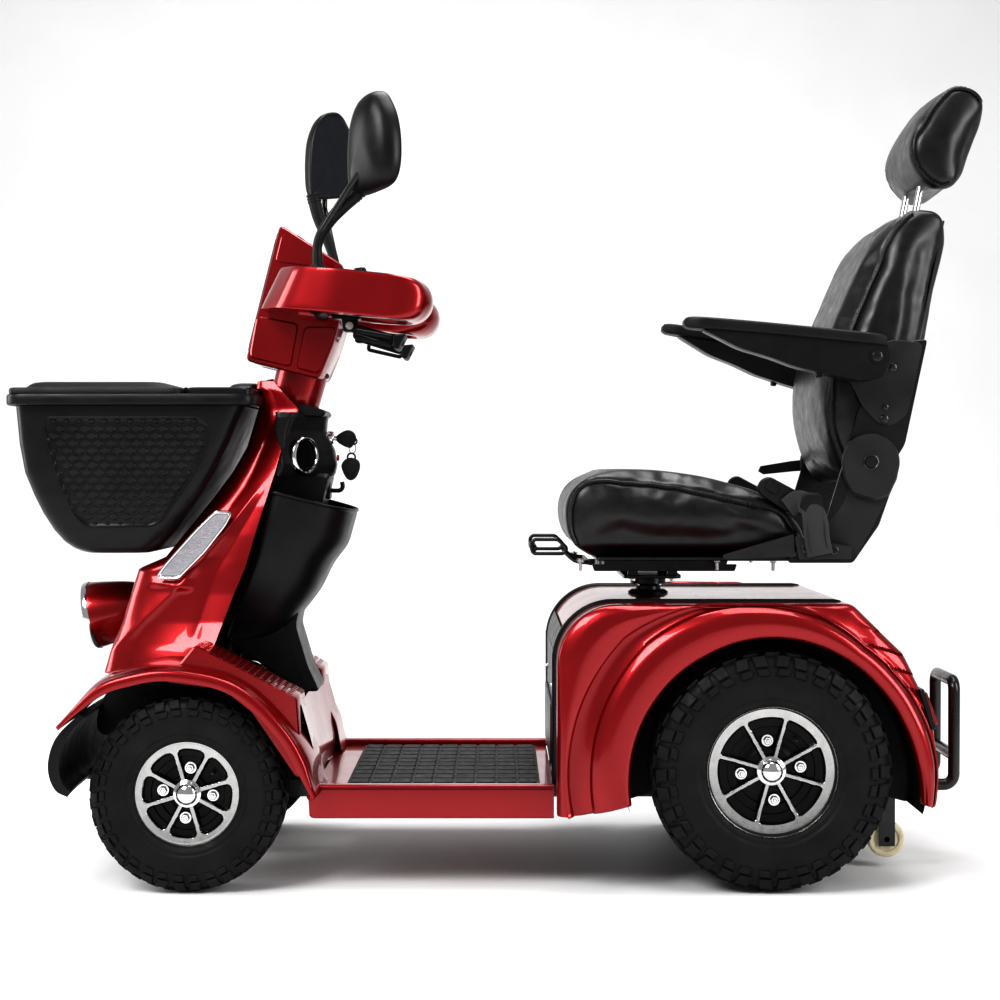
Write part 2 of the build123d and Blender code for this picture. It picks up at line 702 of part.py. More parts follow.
def anti_tip_wheels():
    for side, hand in ((-1, "left"), (1, "right")):
        y = side * ANTI_TIP_Y
        with BuildPart() as roller:
            add(pin_y(ANTI_TIP_X, ANTI_TIP_Z, y - 11, y + 11, ANTI_TIP_R))
            fillet(roller.edges(), 5)
            add(pin_y(ANTI_TIP_X, ANTI_TIP_Z, y - 12, y + 12, 5 + FIT), mode=Mode.SUBTRACT)
        finish(roller, f"anti_tip_wheel_{hand}")


# ---- Seat ---------------------------------------------------------------------------------
def seat_post():
    with BuildPart() as post:
        add(bar((SEAT_POST_X, 0, 362), (SEAT_POST_X, 0, 512), SEAT_POST_R))
        add(bar((SEAT_POST_X, 0, 500), (SEAT_POST_X, 0, 512), 32))
    finish(post, "seat_post")


def swivel_plate():
    """Turntable with the two slide rails."""
    with BuildPart() as plate:
        add(block(SEAT_POST_X - 62, SEAT_POST_X + 62, -112, 112, 512.5, 521))
        for side in (-1, 1):
            add(block(150, 420, *sorted((side * 100, side * 112)), 513, 540))
    finish(plate, "swivel_plate")


def seat_pan():
    """Seat pan with its slide channels and the two recliner brackets."""
    bracket = [
        (486, 546), (596, 546), (640, 610), (668, 690), (662, 742), (630, 762), (590, 752), (574, 700),
        (545, 604), (538, 556), (486, 556),
    ]
    with BuildPart() as pan:
        add(block(158, 560, -216, 216, 548, 556))
        add(block(486, 590, -224, 224, 546, 556))
        for side in (-1, 1):
            for y in (97, 115):
                add(block(180, 390, *sorted((side * (y - 2.2), side * (y + 2.2))), 525, 549))
            add(slab(bracket, *sorted((side * 218, side * 224))))
            for x in (172, 184):
                add(bar((x, side * 40, 530), (x, side * 40, 549), 4))
        add(pin_y(RECLINE_X, RECLINE_Z, -230, 230, PIN_R + FIT), mode=Mode.SUBTRACT)
    finish(pan, "seat_pan")


def seat_cushion():
    outline = [
        (116, 557), (103, 575), (96, 610), (97, 645), (108, 677), (132, 697), (170, 703), (260, 701),
        (343, 689), (430, 664), (484, 642), (530, 575), (534, 557),
    ]
    with BuildPart() as cushion:
        add(slab(outline, -SEAT_WIDTH, SEAT_WIDTH))
        for cheek in (cushion.faces().sort_by(Axis.Y)[0], cushion.faces().sort_by(Axis.Y)[-1]):
            chamfer(cheek.edges().filter_by_position(Axis.Z, 660, 710), 12)
    finish(cushion, "seat_cushion")


HEADREST_TILT = Vector(0.2, 0, 0.98).normalized()


def back_frame():
    """Reclining back: rear shell, side plates with the arm pivots, and the recliner pins."""
    shell = [(770, 1140), (726, 927), (682, 742), (674, 744), (717, 929), (760, 1142)]
    plate = [(606, 690), (588, 740), (604, 800), (640, 880), (668, 922), (724, 928), (682, 742), (650, 690)]
    with BuildPart() as frame:
        add(slab(shell, -205, 205))
        add(slab([(724, 918), (682, 742), (674, 744), (715, 920)], -215, 215))
        for side in (-1, 1):
            add(slab(plate, *sorted((side * 209, side * 215))))
            add(pin_y(RECLINE_X, RECLINE_Z, *sorted((side * 209, side * 226)), PIN_R))
            add(pin_y(RECLINE_X, RECLINE_Z, *sorted((side * 224.6, side * 238)), 44))
            add(pin_y(ARM_PIVOT_X + 30, ARM_PIVOT_Z, *sorted((side * 209, side * 215)), 30))
            add(pin_y(ARM_PIVOT_X, ARM_PIVOT_Z, *sorted((side * 209, side * 215)), 26))
            add(pin_y(ARM_PIVOT_X, ARM_PIVOT_Z, *sorted((side * 209, side * 262)), PIN_R))
    finish(frame, "back_frame")


def headrest_rods():
    """The two bars that carry the headrest, as start, end pairs."""
    foot = Vector(716, 0, 1070)
    return [(tuple(foot + Vector(0, y, 0)), tuple(foot + Vector(0, y, 0) + HEADREST_TILT * 150)) for y in (-60, 60)]


def back_cushion():
    outline = [
        (598, 664), (580, 694), (568, 728), (554, 765), (548, 812), (554, 878), (578, 948), (606, 1014),
        (650, 1106), (674, 1140), (700, 1163), (745, 1163), (757, 1146), (714, 930), (671, 744), (645, 690),
        (628, 664),
    ]
    with BuildPart() as pad:
        add(slab(outline, -204, 204))
        for start, end in headrest_rods():
            low = Vector(*start) - HEADREST_TILT * 10
            add(bar(tuple(low), end, 7.5), mode=Mode.SUBTRACT)
    finish(pad, "back_cushion")


def headrest():
    outline = [
        (756, 1188), (794, 1190), (856, 1357), (840, 1378), (809, 1390), (784, 1384), (742, 1332),
        (714, 1292), (706, 1262), (720, 1225),
    ]
    with BuildPart() as rest:
        add(slab(outline, -130, 130))
        for start, end in headrest_rods():
            add(bar(start, end, 6.5))
    finish(rest, "headrest")


def raised(outline, degrees):
    """An arm outline turned up about its pivot."""
    turn = radians(degrees)
    return [
        (
            ARM_PIVOT_X + (x - ARM_PIVOT_X) * cos(turn) + (z - ARM_PIVOT_Z) * sin(turn),
            ARM_PIVOT_Z - (x - ARM_PIVOT_X) * sin(turn) + (z - ARM_PIVOT_Z) * cos(turn),
        )
        for x, z in outline
    ]


def armrests():
    """The left arm rests level and the right one a little higher."""
    pad = [(301, 948), (307, 962), (640, 930), (640, 910), (307, 940)]
    body = [
        (340, 939), (395, 908), (449, 892), (488, 877), (557, 861), (607, 852), (640, 862), (652, 895),
        (640, 926), (600, 931),
    ]
    for side, hand, lift in ((-1, "left", 0.0), (1, "right", RIGHT_ARM_LIFT)):
        with BuildPart() as arm:
            add(slab(raised(pad, lift), *sorted((side * 224, side * 290))))
            add(slab(raised(body, lift), *sorted((side * 230, side * 284))))
            add(pin_y(ARM_PIVOT_X, ARM_PIVOT_Z, *sorted((side * 220, side * 264)), PIN_R + FIT), mode=Mode.SUBTRACT)
        finish(arm, f"armrest_{hand}")


def seat_levers():
    """The slide release bar under the front, and the recline lever on the right."""
    bar_r = 4
    with BuildPart() as release:
        for side in (-1, 1):
            y = side * SLIDE_Y
            add(bar((150, y, 541), (102, y, 543), bar_r))
            add(bar((102, y, 543), (58, y, 566), bar_r))
            for x, z in ((150, 541), (102, 543), (58, 566)):
                with Locations((x, y, z)):
                    Sphere(bar_r)
        for x, z in ((150, 541), (58, 566)):
            add(pin_y(x, z, -SLIDE_Y, SLIDE_Y, bar_r))
    finish(release, "slide_release_bar")
    handle = [(640, 730), (560, 722), (500, 712), (496, 702), (506, 696), (565, 702), (640, 706)]
    with BuildPart() as lever:
        add(slab(handle, 239, 247))
        add(pin_y(RECLINE_X, RECLINE_Z, 239, 250, 22))
    finish(lever, "recline_lever")


def seat_belt():
    """A webbing stub and a buckle on each side of the cushion."""
    strap = [(560, 590), (540, 575), (468, 672), (486, 690)]
    buckle = [(490, 662), (468, 646), (436, 690), (458, 708)]
    with BuildPart() as belt:
        for side in (-1, 1):
            add(slab(strap, *sorted((side * 243, side * 246))))
            add(slab(buckle, *sorted((side * 241.5, side * 253))))
            add(pin_y(545, 590, *sorted((side * 224.3, side * 246)), 8))
    finish(belt, "seat_belt")


# ---- Tiller -------------------------------------------------------------------------------
def tiller_head():
    outer = [(-389, 1138), (-455, 898), (-318, 864), (-293, 926), (-282, 966), (-279, 1066)]
    inner = [(-385, 1130), (-449, 902), (-322, 870), (-298, 927), (-287, 967), (-284, 1064)]
    bar_x, bar_z = handlebar_at()
    with BuildPart() as head:
        add(slab(outer, -HEAD_Y, HEAD_Y, corner=4))
        add(slab(inner, WALL - HEAD_Y, HEAD_Y - WALL), mode=Mode.SUBTRACT)
        with BuildSketch(steer_plane(-10)):
            Circle(COLUMN_R + 0.5)
        extrude(amount=60, mode=Mode.SUBTRACT)
        add(pin_y(bar_x, bar_z, -HEAD_Y - 5, HEAD_Y + 5, 11.4), mode=Mode.SUBTRACT)
    finish(head, "tiller_head")


def handlebar_at():
    """Where the handlebar crosses the middle plane: its X and Z."""
    point = steer_at(130)
    return point[0] + 20, point[2]


def handlebar_guard():
    """Red guard round each hand, with the lugs that carry its lever."""
    level = Plane(
        origin=(-258, 0, 1004),
        x_dir=(cos(radians(GUARD_SLOPE)), 0, -sin(radians(GUARD_SLOPE))),
        z_dir=(sin(radians(GUARD_SLOPE)), 0, cos(radians(GUARD_SLOPE))),
    )
    half = 37
    near_head = HEAD_Y + 0.3
    bar_x, bar_z = handlebar_at()
    with BuildPart() as guard:
        for side in (-1, 1):
            with BuildSketch(level.offset(-half)):
                Polygon(
                    (-136, side * near_head), (-130, side * 170), (-96, side * 238), (-40, side * GUARD_Y),
                    (80, side * GUARD_Y), (120, side * 252), (137, side * 222), (137, side * 150),
                    (122, side * 112), (60, side * near_head), align=None,
                )
                Polygon(
                    (-92, side * 122), (-84, side * 176), (-36, side * 222), (74, side * 226), (94, side * 212),
                    (94, side * 150), (80, side * 132), align=None, mode=Mode.SUBTRACT,
                )
            extrude(amount=2 * half)
            for y in (LEVER_Y - 10, LEVER_Y + 10):
                lug = sorted((side * (y - 3), side * (y + 3)))
                add(slab([(-280, 945), (-256, 945), (-256, 975), (-280, 975)], *lug))
            add(pin_y(LEVER_X, LEVER_Z, *sorted((side * (LEVER_Y - 12), side * (LEVER_Y + 12))), 4))
        for side in (-1, 1):
            add(block(-300, -250, *sorted((side * 128, side * 164)), 972, 980))
        add(pin_y(bar_x, bar_z, -248, 248, 11.4), mode=Mode.SUBTRACT)
        for stalk in MIRROR_STALKS:
            add(bar(stalk[0], stalk[1], 6), mode=Mode.SUBTRACT)
    finish(guard, "handlebar_guard")


def levers():
    for side, name in ((-1, "brake_lever"), (1, "throttle_lever")):
        arm = [(-277, 948), (-268, 963), (-258, 960), (-172, 930), (-174, 918), (-186, 918)]
        with BuildPart() as lever:
            add(slab(arm, *sorted((side * (LEVER_Y - 6), side * (LEVER_Y + 6)))))
            add(pin_y(-178, 925, *sorted((side * (LEVER_Y - 45), side * (LEVER_Y + 45))), 7))
            add(pin_y(LEVER_X, LEVER_Z, *sorted((side * (LEVER_Y - 7), side * (LEVER_Y + 7))), 4 + FIT),
                mode=Mode.SUBTRACT)
        finish(lever, name)


def instrument_panel():
    outline = [(-384, 1136), (-280, 1069), (-275, 1077), (-379, 1144)]
    with BuildPart() as panel:
        add(slab(outline, -84, 84))
    finish(panel, "instrument_panel")
    with BuildPart() as knob:
        with BuildSketch(Plane(origin=(-250, -150, 1041.6), z_dir=(sin(radians(GUARD_SLOPE)), 0, 1))):
            Circle(11)
        extrude(amount=15, taper=4)
    finish(knob, "speed_knob")


def mirror_heads():
    """Oval mirror shells behind the stalk ends, turned to face the rider."""
    for side, hand, stalk in ((-1, "left", MIRROR_STALKS[0]), (1, "right", MIRROR_STALKS[1])):
        facing = Vector(1, -side, 0).normalized()
        centre = Vector(*stalk[-1]) + facing * (MIRROR_T + 6) + Vector(0, 0, 35)
        with BuildPart() as shell:
            with BuildSketch(Plane(origin=centre, x_dir=(1, side, 0), z_dir=facing)):
                Ellipse(MIRROR_HALF_WIDTH, MIRROR_HALF_HEIGHT)
            extrude(amount=MIRROR_T, both=True)
        finish(shell, f"mirror_head_{hand}")


def keys():
    with BuildPart() as key:
        add(bar((-308.5, 0, 762), (-296, 0, 762), 4))
        add(block(-297, -272, -1.5, 1.5, 751, 773))
    finish(key, "ignition_key")
    with BuildPart() as fob:
        add(bar((-280, 0, 727), (-280, 0, 749.2), 1.6))
        add(block(-295, -265, -6, 6, 688, 728))
        fillet(fob.edges().filter_by(Axis.Y), 4)
    finish(fob, "key_fob")


wheels()
knuckles()
tie_rod()
steering_column()
main_frame()
transaxle()
batteries()
controller()
floor_tray()
floor_mat()
front_shroud()
front_fenders()
front_bumper()
headlight()
turn_signals()
console()
storage_bin()
basket()
rear_body()
tail_lights()
rear_bumper()
anti_tip_wheels()
seat_post()
swivel_plate()
seat_pan()
seat_cushion()
back_frame()
back_cushion()
headrest()
armrests()
seat_levers()
seat_belt()
tiller_head()
handlebar_guard()
levers()
instrument_panel()
mirror_heads()
keys()
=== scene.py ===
import json
import math

import bmesh
import bpy
import numpy as np
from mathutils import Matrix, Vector
from mathutils.bvhtree import BVHTree


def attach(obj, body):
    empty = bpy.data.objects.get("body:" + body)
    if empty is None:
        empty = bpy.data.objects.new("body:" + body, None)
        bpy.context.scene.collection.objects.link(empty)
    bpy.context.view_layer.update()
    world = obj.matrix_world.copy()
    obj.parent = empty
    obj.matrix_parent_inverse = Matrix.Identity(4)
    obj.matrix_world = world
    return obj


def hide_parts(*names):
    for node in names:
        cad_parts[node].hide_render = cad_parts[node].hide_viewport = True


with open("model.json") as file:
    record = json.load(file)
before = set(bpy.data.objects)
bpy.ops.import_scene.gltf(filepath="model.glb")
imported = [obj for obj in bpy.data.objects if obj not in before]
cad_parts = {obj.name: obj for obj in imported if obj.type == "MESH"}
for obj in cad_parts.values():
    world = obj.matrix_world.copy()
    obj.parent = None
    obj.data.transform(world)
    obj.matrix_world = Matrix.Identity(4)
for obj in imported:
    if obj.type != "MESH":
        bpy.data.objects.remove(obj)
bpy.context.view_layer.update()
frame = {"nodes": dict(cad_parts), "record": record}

# Lengths in this script are millimetres until a mesh is made. The scooter faces -X and its left side is -Y.
MM = 0.001
LEFT = -1
RIGHT = 1
HANDS = ((LEFT, "left"), (RIGHT, "right"))
# Points closer than this are joined when a mesh is made.
MERGE_GAP = 0.02


# ---- Mesh building --------------------------------------------------------------------------
def smooth_step(low, high, value):
    """0 below low, 1 above high, and a smooth ramp between."""
    t = np.clip((np.asarray(value, float) - low) / (high - low), 0.0, 1.0)
    return t * t * (3 - 2 * t)


def unit(vector):
    """The vector scaled to length 1."""
    vector = np.asarray(vector, float)
    return vector / np.linalg.norm(vector)


def resample(points, count, closed=False):
    """Points spaced evenly along a polyline."""
    points = np.asarray(points, float)
    if closed:
        points = np.vstack([points, points[:1]])
    steps = np.linalg.norm(np.diff(points, axis=0), axis=1)
    along = np.concatenate([[0], np.cumsum(steps)])
    wanted = np.linspace(0, along[-1], count, endpoint=not closed)
    return np.stack([np.interp(wanted, along, points[:, i]) for i in range(points.shape[1])], axis=1)


def spline(points, count, closed=False):
    """A smooth curve through the points, as count points."""
    points = np.asarray(points, float)
    if closed:
        padded = np.vstack([points[-1:], points, points[:2]])
    else:
        first = 2 * points[0] - points[1]
        last = 2 * points[-1] - points[-2]
        padded = np.vstack([first, points, last])
    fine = []
    for a, b, c, d in zip(padded[:-3], padded[1:-2], padded[2:-1], padded[3:]):
        for t in np.linspace(0, 1, 16, endpoint=False):
            fine.append(0.5 * (2 * b + (c - a) * t + (2 * a - 5 * b + 4 * c - d) * t ** 2
                               + (3 * b - a - 3 * c + d) * t ** 3))
    if not closed:
        fine.append(points[-1])
    return resample(fine, count, closed)


def rounded(outline, radius, steps=6):
    """A closed 2-D outline with every corner rounded."""
    outline = np.asarray(outline, float)
    count = len(outline)
    result = []
    for i in range(count):
        corner = outline[i]
        before = outline[i - 1] - corner
        after = outline[(i + 1) % count] - corner
        cut = min(radius, 0.45 * np.linalg.norm(before), 0.45 * np.linalg.norm(after))
        start = corner + unit(before) * cut
        end = corner + unit(after) * cut
        for t in np.linspace(0, 1, steps):
            result.append((1 - t) ** 2 * start + 2 * t * (1 - t) * corner + t ** 2 * end)
    return np.array(result)


class Build:
    """Gathers the surfaces of one piece, each with the number of its material."""

    def __init__(self):
        self.verts = []
        self.faces = []
        self.slots = []

    def add(self, verts, faces, slot=0):
        base = len(self.verts)
        self.verts.extend([tuple(v) for v in verts])
        self.faces.extend([tuple(base + i for i in face) for face in faces])
        if np.isscalar(slot):
            slot = [slot] * len(faces)
        self.slots.extend(int(s) for s in slot)

    def grid(self, rows, slot=0, wrap_rows=False, wrap_columns=False, caps=False):
        """A surface over an array of points. slot may be a function of row and column."""
        rows = np.asarray(rows, float)
        n, m = rows.shape[:2]
        faces = []
        slots = []
        for i in range(n if wrap_rows else n - 1):
            for j in range(m if wrap_columns else m - 1):
                k = (i + 1) % n
                h = (j + 1) % m
                faces.append((i * m + j, i * m + h, k * m + h, k * m + j))
                slots.append(slot(i, j) if callable(slot) else slot)
        if caps:
            for i in (0, n - 1):
                faces.append(tuple(i * m + j for j in range(m)))
                slots.append(slot(i, 0) if callable(slot) else slot)
        self.add(rows.reshape(-1, 3), faces, slots)

    def tube(self, points, radius, sides=14, slot=0, closed=False):
        """A round tube along points. radius may be one number or one for each point."""
        points = np.asarray(points, float)
        count = len(points)
        radii = np.broadcast_to(np.asarray(radius, float), (count,))
        if closed:
            ahead = np.roll(points, -1, axis=0) - np.roll(points, 1, axis=0)
        else:
            ahead = np.gradient(points, axis=0)
        normal = np.array([0.31, 0.87, 0.39])
        rows = []
        for i in range(count):
            along = unit(ahead[i])
            normal = unit(normal - along * normal.dot(along))
            other = np.cross(along, normal)
            turn = np.linspace(0, 2 * np.pi, sides, endpoint=False)[:, None]
            rows.append(points[i] + radii[i] * (np.cos(turn) * normal + np.sin(turn) * other))
        self.grid(rows, slot, wrap_rows=closed, wrap_columns=True, caps=not closed)

    def revolve(self, profile, centre, axis, steps=48, slot=0):
        """A profile of (radius, along) pairs turned about an axis."""
        axis = unit(axis)
        side = unit(np.cross(axis, (0.13, 0.21, 0.97) if abs(axis[2]) < 0.9 else (1, 0, 0)))
        other = np.cross(axis, side)
        turns = np.linspace(0, 2 * math.pi, steps, endpoint=False)
        rows = [[np.asarray(centre) + axis * along + r * (math.cos(t) * side + math.sin(t) * other)
                 for r, along in profile] for t in turns]
        self.grid(rows, slot, wrap_rows=True)

    def prism(self, outline, low, high, slot=0, edge=0.0, axis="y"):
        """A flat outline given thickness. With an edge, both faces have a small rounded border."""
        outline = np.asarray(outline, float)
        middle = outline.mean(axis=0)
        spread = np.abs(outline - middle).max()
        shrink = 1 - edge / spread if edge else 1.0
        inner = middle + (outline - middle) * shrink
        rings = [(inner, low), (outline, low + edge), (outline, high - edge), (inner, high)]
        if not edge:
            rings = [(outline, low), (outline, high)]
        place = {"y": lambda p, d: (p[0], d, p[1]), "x": lambda p, d: (d, p[0], p[1]),
                 "z": lambda p, d: (p[0], p[1], d)}[axis]
        self.grid([[place(p, d) for p in ring] for ring, d in rings], slot, wrap_columns=True, caps=True)

    def plate(self, outline, side, near, far, slot=0, edge=0.0):
        """A prism on one side of the scooter, between two distances from its middle."""
        low, high = sorted((side * near, side * far))
        self.prism(outline, low, high, slot, edge)

    def bolt(self, centre, axis, radius, height, slot=0, sides=6, washer=1.0):
        """A hexagon head on a washer, its top edge chamfered."""
        axis = unit(axis)
        self.revolve([(0, 0), (radius * 1.35, 0), (radius * 1.35, washer), (radius * 0.9, washer)],
                     centre, axis, 24, slot)
        base = np.asarray(centre) + axis * washer
        self.revolve([(radius, 0), (radius, height * 0.8), (radius * 0.86, height), (0, height)],
                     base, axis, sides, slot)

    def moved(self, change):
        """Passes every point so far through a function."""
        self.verts = [tuple(change(v)) for v in self.verts]

    def piece(self, name, materials, body, replaces=(), angle=35):
        """Makes the object, in metres, riding on a body."""
        mesh = bpy.data.meshes.new(name)
        mesh.from_pydata([tuple(c * MM for c in v) for v in self.verts], [], self.faces)
        for material in materials:
            mesh.materials.append(material)
        mesh.polygons.foreach_set("material_index", self.slots)
        obj = bpy.data.objects.new(name, mesh)
        bpy.context.scene.collection.objects.link(obj)
        shell = bmesh.new()
        shell.from_mesh(mesh)
        bmesh.ops.remove_doubles(shell, verts=shell.verts, dist=MERGE_GAP * MM)
        bmesh.ops.recalc_face_normals(shell, faces=shell.faces)
        shell.to_mesh(mesh)
        shell.free()
        soften(obj, angle)
        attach(obj, body)
        if replaces:
            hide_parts(*replaces)
        return obj


def soften(obj, angle):
    """Smooth shading, with edges sharper than angle kept crisp."""
    mesh = obj.data
    mesh.polygons.foreach_set("use_smooth", [True] * len(mesh.polygons))
    mesh.set_sharp_from_angle(angle=math.radians(angle))
    mesh.update()


def modifier(obj, kind, **settings):
    """Adds a modifier with its settings."""
    added = obj.modifiers.new(kind.lower(), kind)
    for key, value in settings.items():
        setattr(added, key, value)
    return added


# ---- Materials ------------------------------------------------------------------------------
class Finish:
    """A node material built from one Principled shader. Scales are per metre, bump depths are metres."""

    def __init__(self, name, colour, rough, metal=0.0, **sockets):
        self.material = bpy.data.materials.new(name)
        self.material.use_nodes = True
        self.tree = self.material.node_tree
        self.shader = self.tree.nodes["Principled BSDF"]
        self.shader.inputs["Base Color"].default_value = (*colour, 1)
        self.shader.inputs["Roughness"].default_value = rough
        self.shader.inputs["Metallic"].default_value = metal
        for key, value in sockets.items():
            self.shader.inputs[key.replace("_", " ")].default_value = value
        self.place = self.node("ShaderNodeTexCoord").outputs["Object"]
        self.normal = None

    def node(self, kind, **settings):
        made = self.tree.nodes.new(kind)
        for key, value in settings.items():
            setattr(made, key, value)
        return made

    def link(self, source, target):
        self.tree.links.new(source, target)

    def noise(self, scale, detail):
        made = self.node("ShaderNodeTexNoise")
        made.inputs["Scale"].default_value = scale
        made.inputs["Detail"].default_value = detail
        self.link(self.place, made.inputs["Vector"])
        return made.outputs["Fac"]

    def cells(self, scale, feature):
        made = self.node("ShaderNodeTexVoronoi", feature=feature)
        made.inputs["Scale"].default_value = scale
        self.link(self.place, made.inputs["Vector"])
        return made.outputs["Distance"]

    def bands(self, scale, direction):
        made = self.node("ShaderNodeTexWave", bands_direction=direction)
        made.inputs["Scale"].default_value = scale
        self.link(self.place, made.inputs["Vector"])
        return made.outputs["Fac"]

    def between(self, source, from_low, from_high, low, high):
        made = self.node("ShaderNodeMapRange", clamp=True)
        for key, value in zip(("From Min", "From Max", "To Min", "To Max"),
                              (from_low, from_high, low, high)):
            made.inputs[key].default_value = value
        self.link(source, made.inputs["Value"])
        return made.outputs["Result"]

    def maths(self, kind, a, b):
        made = self.node("ShaderNodeMath", operation=kind)
        for i, value in enumerate((a, b)):
            if isinstance(value, (int, float)):
                made.inputs[i].default_value = value
            else:
                self.link(value, made.inputs[i])
        return made.outputs[0]

    def colours(self, source, stops):
        """Base colour from a ramp of (position, colour)."""
        ramp = self.node("ShaderNodeValToRGB")
        ramp.color_ramp.elements[0].position, first = stops[0]
        ramp.color_ramp.elements[0].color = (*first, 1)
        ramp.color_ramp.elements[1].position, last = stops[-1]
        ramp.color_ramp.elements[1].color = (*last, 1)
        for position, colour in stops[1:-1]:
            ramp.color_ramp.elements.new(position).color = (*colour, 1)
        self.link(source, ramp.inputs["Fac"])
        self.link(ramp.outputs["Color"], self.shader.inputs["Base Color"])
        return self

    def rough(self, source, low, high):
        """Roughness from low to high over the middle of a noise."""
        self.link(self.between(source, 0.3, 0.7, low, high), self.shader.inputs["Roughness"])
        return self

    def bump(self, source, depth, strength=1.0):
        made = self.node("ShaderNodeBump")
        made.inputs["Strength"].default_value = strength
        made.inputs["Distance"].default_value = depth
        self.link(source, made.inputs["Height"])
        if self.normal:
            self.link(self.normal, made.inputs["Normal"])
        self.normal = made.outputs["Normal"]
        self.link(self.normal, self.shader.inputs["Normal"])
        return self

    def worn_edges(self, low=0.52, high=0.62):
        """How exposed an edge is, from 0 to 1."""
        return self.between(self.node("ShaderNodeNewGeometry").outputs["Pointiness"], low, high, 0.0, 1.0)


def candy_red():
    f = Finish("candy_red", (0.24, 0.0015, 0.004), 0.3, 0.72, Coat_Weight=0.7, Coat_Roughness=0.03,
               Coat_IOR=1.42)
    f.colours(f.noise(2600, 1), [(0.35, (0.20, 0.0008, 0.0035)), (0.62, (0.29, 0.002, 0.006)),
                                 (0.8, (0.44, 0.014, 0.015))])
    f.rough(f.noise(9, 3), 0.27, 0.36)
    return f.bump(f.noise(70, 2), 0.00006, 0.5).material


def satin_plastic(name, colour=(0.006, 0.006, 0.0068), low=0.3, high=0.42, grain=2200, depth=0.00006):
    f = Finish(name, colour, 0.4, Specular_IOR_Level=0.26)
    lighter = tuple(c * 1.6 + 0.001 for c in colour)
    f.colours(f.noise(14, 4), [(0.35, colour), (0.75, lighter)])
    f.rough(f.noise(30, 4), low, high)
    return f.bump(f.noise(grain, 2), depth, 0.6).material


def frame_paint():
    f = Finish("black_frame_paint", (0.006, 0.006, 0.0065), 0.3, Specular_IOR_Level=0.4, Coat_Weight=0.25,
               Coat_Roughness=0.12)
    edge = f.worn_edges(0.56, 0.7)
    f.colours(f.maths("MULTIPLY", edge, f.noise(160, 3)), [(0.1, (0.006, 0.006, 0.0065)),
                                                           (0.7, (0.05, 0.05, 0.052))])
    f.rough(f.noise(40, 3), 0.24, 0.36)
    return f.bump(f.noise(700, 2), 0.00008, 0.5).material


def metal(name, colour, low, high, scale=220, depth=0.00004):
    f = Finish(name, colour, low, 1.0)
    f.colours(f.noise(60, 4), [(0.3, tuple(c * 0.86 for c in colour)), (0.7, colour)])
    f.rough(f.noise(scale, 4), low, high)
    return f.bump(f.noise(scale * 3, 2), depth, 0.35).material


def rubber(name, colour=(0.0065, 0.0065, 0.007), low=0.46, high=0.66):
    f = Finish(name, colour, 0.6, Specular_IOR_Level=0.2)
    f.colours(f.noise(18, 5), [(0.3, colour), (0.72, tuple(c * 1.6 + 0.0015 for c in colour))])
    f.rough(f.noise(60, 4), low, high)
    return f.bump(f.noise(900, 3), 0.00012, 0.6).material


def leather():
    f = Finish("black_leather", (0.005, 0.005, 0.0054), 0.36, Specular_IOR_Level=0.42)
    f.colours(f.noise(22, 5), [(0.3, (0.0045, 0.0045, 0.005)), (0.75, (0.0095, 0.0093, 0.0098))])
    f.rough(f.noise(45, 5), 0.26, 0.4)
    f.bump(f.noise(26, 3), 0.0007, 0.3)
    f.bump(f.cells(620, "DISTANCE_TO_EDGE"), 0.00022, 0.5)
    return f.bump(f.noise(2400, 2), 0.00008, 0.4).material


def webbing():
    f = Finish("belt_webbing", (0.014, 0.014, 0.015), 0.75, Sheen_Weight=0.2)
    weave = f.maths("MAXIMUM", f.bands(330, "X"), f.bands(330, "Z"))
    f.colours(weave, [(0.2, (0.007, 0.007, 0.008)), (0.9, (0.03, 0.03, 0.032))])
    return f.bump(weave, 0.0004, 0.8).material


def clear_plastic(name, colour, rough=0.05):
    f = Finish(name, colour, rough, Transmission_Weight=0.92, IOR=1.46, Coat_Weight=0.3)
    f.rough(f.noise(40, 3), rough, rough + 0.05)
    return f.bump(f.noise(150, 2), 0.00005, 0.4).material


def dark_gloss():
    f = Finish("window_black", (0.0025, 0.0025, 0.003), 0.34, Specular_IOR_Level=0.2)
    f.rough(f.noise(60, 3), 0.3, 0.42)
    return f.bump(f.noise(300, 2), 0.00004, 0.4).material


def cream():
    f = Finish("roller_cream", (0.66, 0.58, 0.40), 0.42)
    f.colours(f.noise(48, 5), [(0.3, (0.54, 0.46, 0.30)), (0.7, (0.73, 0.66, 0.49))])
    f.rough(f.noise(90, 4), 0.34, 0.55)
    return f.bump(f.noise(500, 3), 0.00012, 0.5).material


def mat_finish():
    f = Finish("mat_rubber", (0.02, 0.02, 0.021), 0.7)
    f.colours(f.noise(30, 5), [(0.3, (0.011, 0.011, 0.012)), (0.75, (0.024, 0.024, 0.025))])
    f.rough(f.noise(80, 4), 0.55, 0.8)
    return f.bump(f.noise(1200, 2), 0.00015, 0.6).material


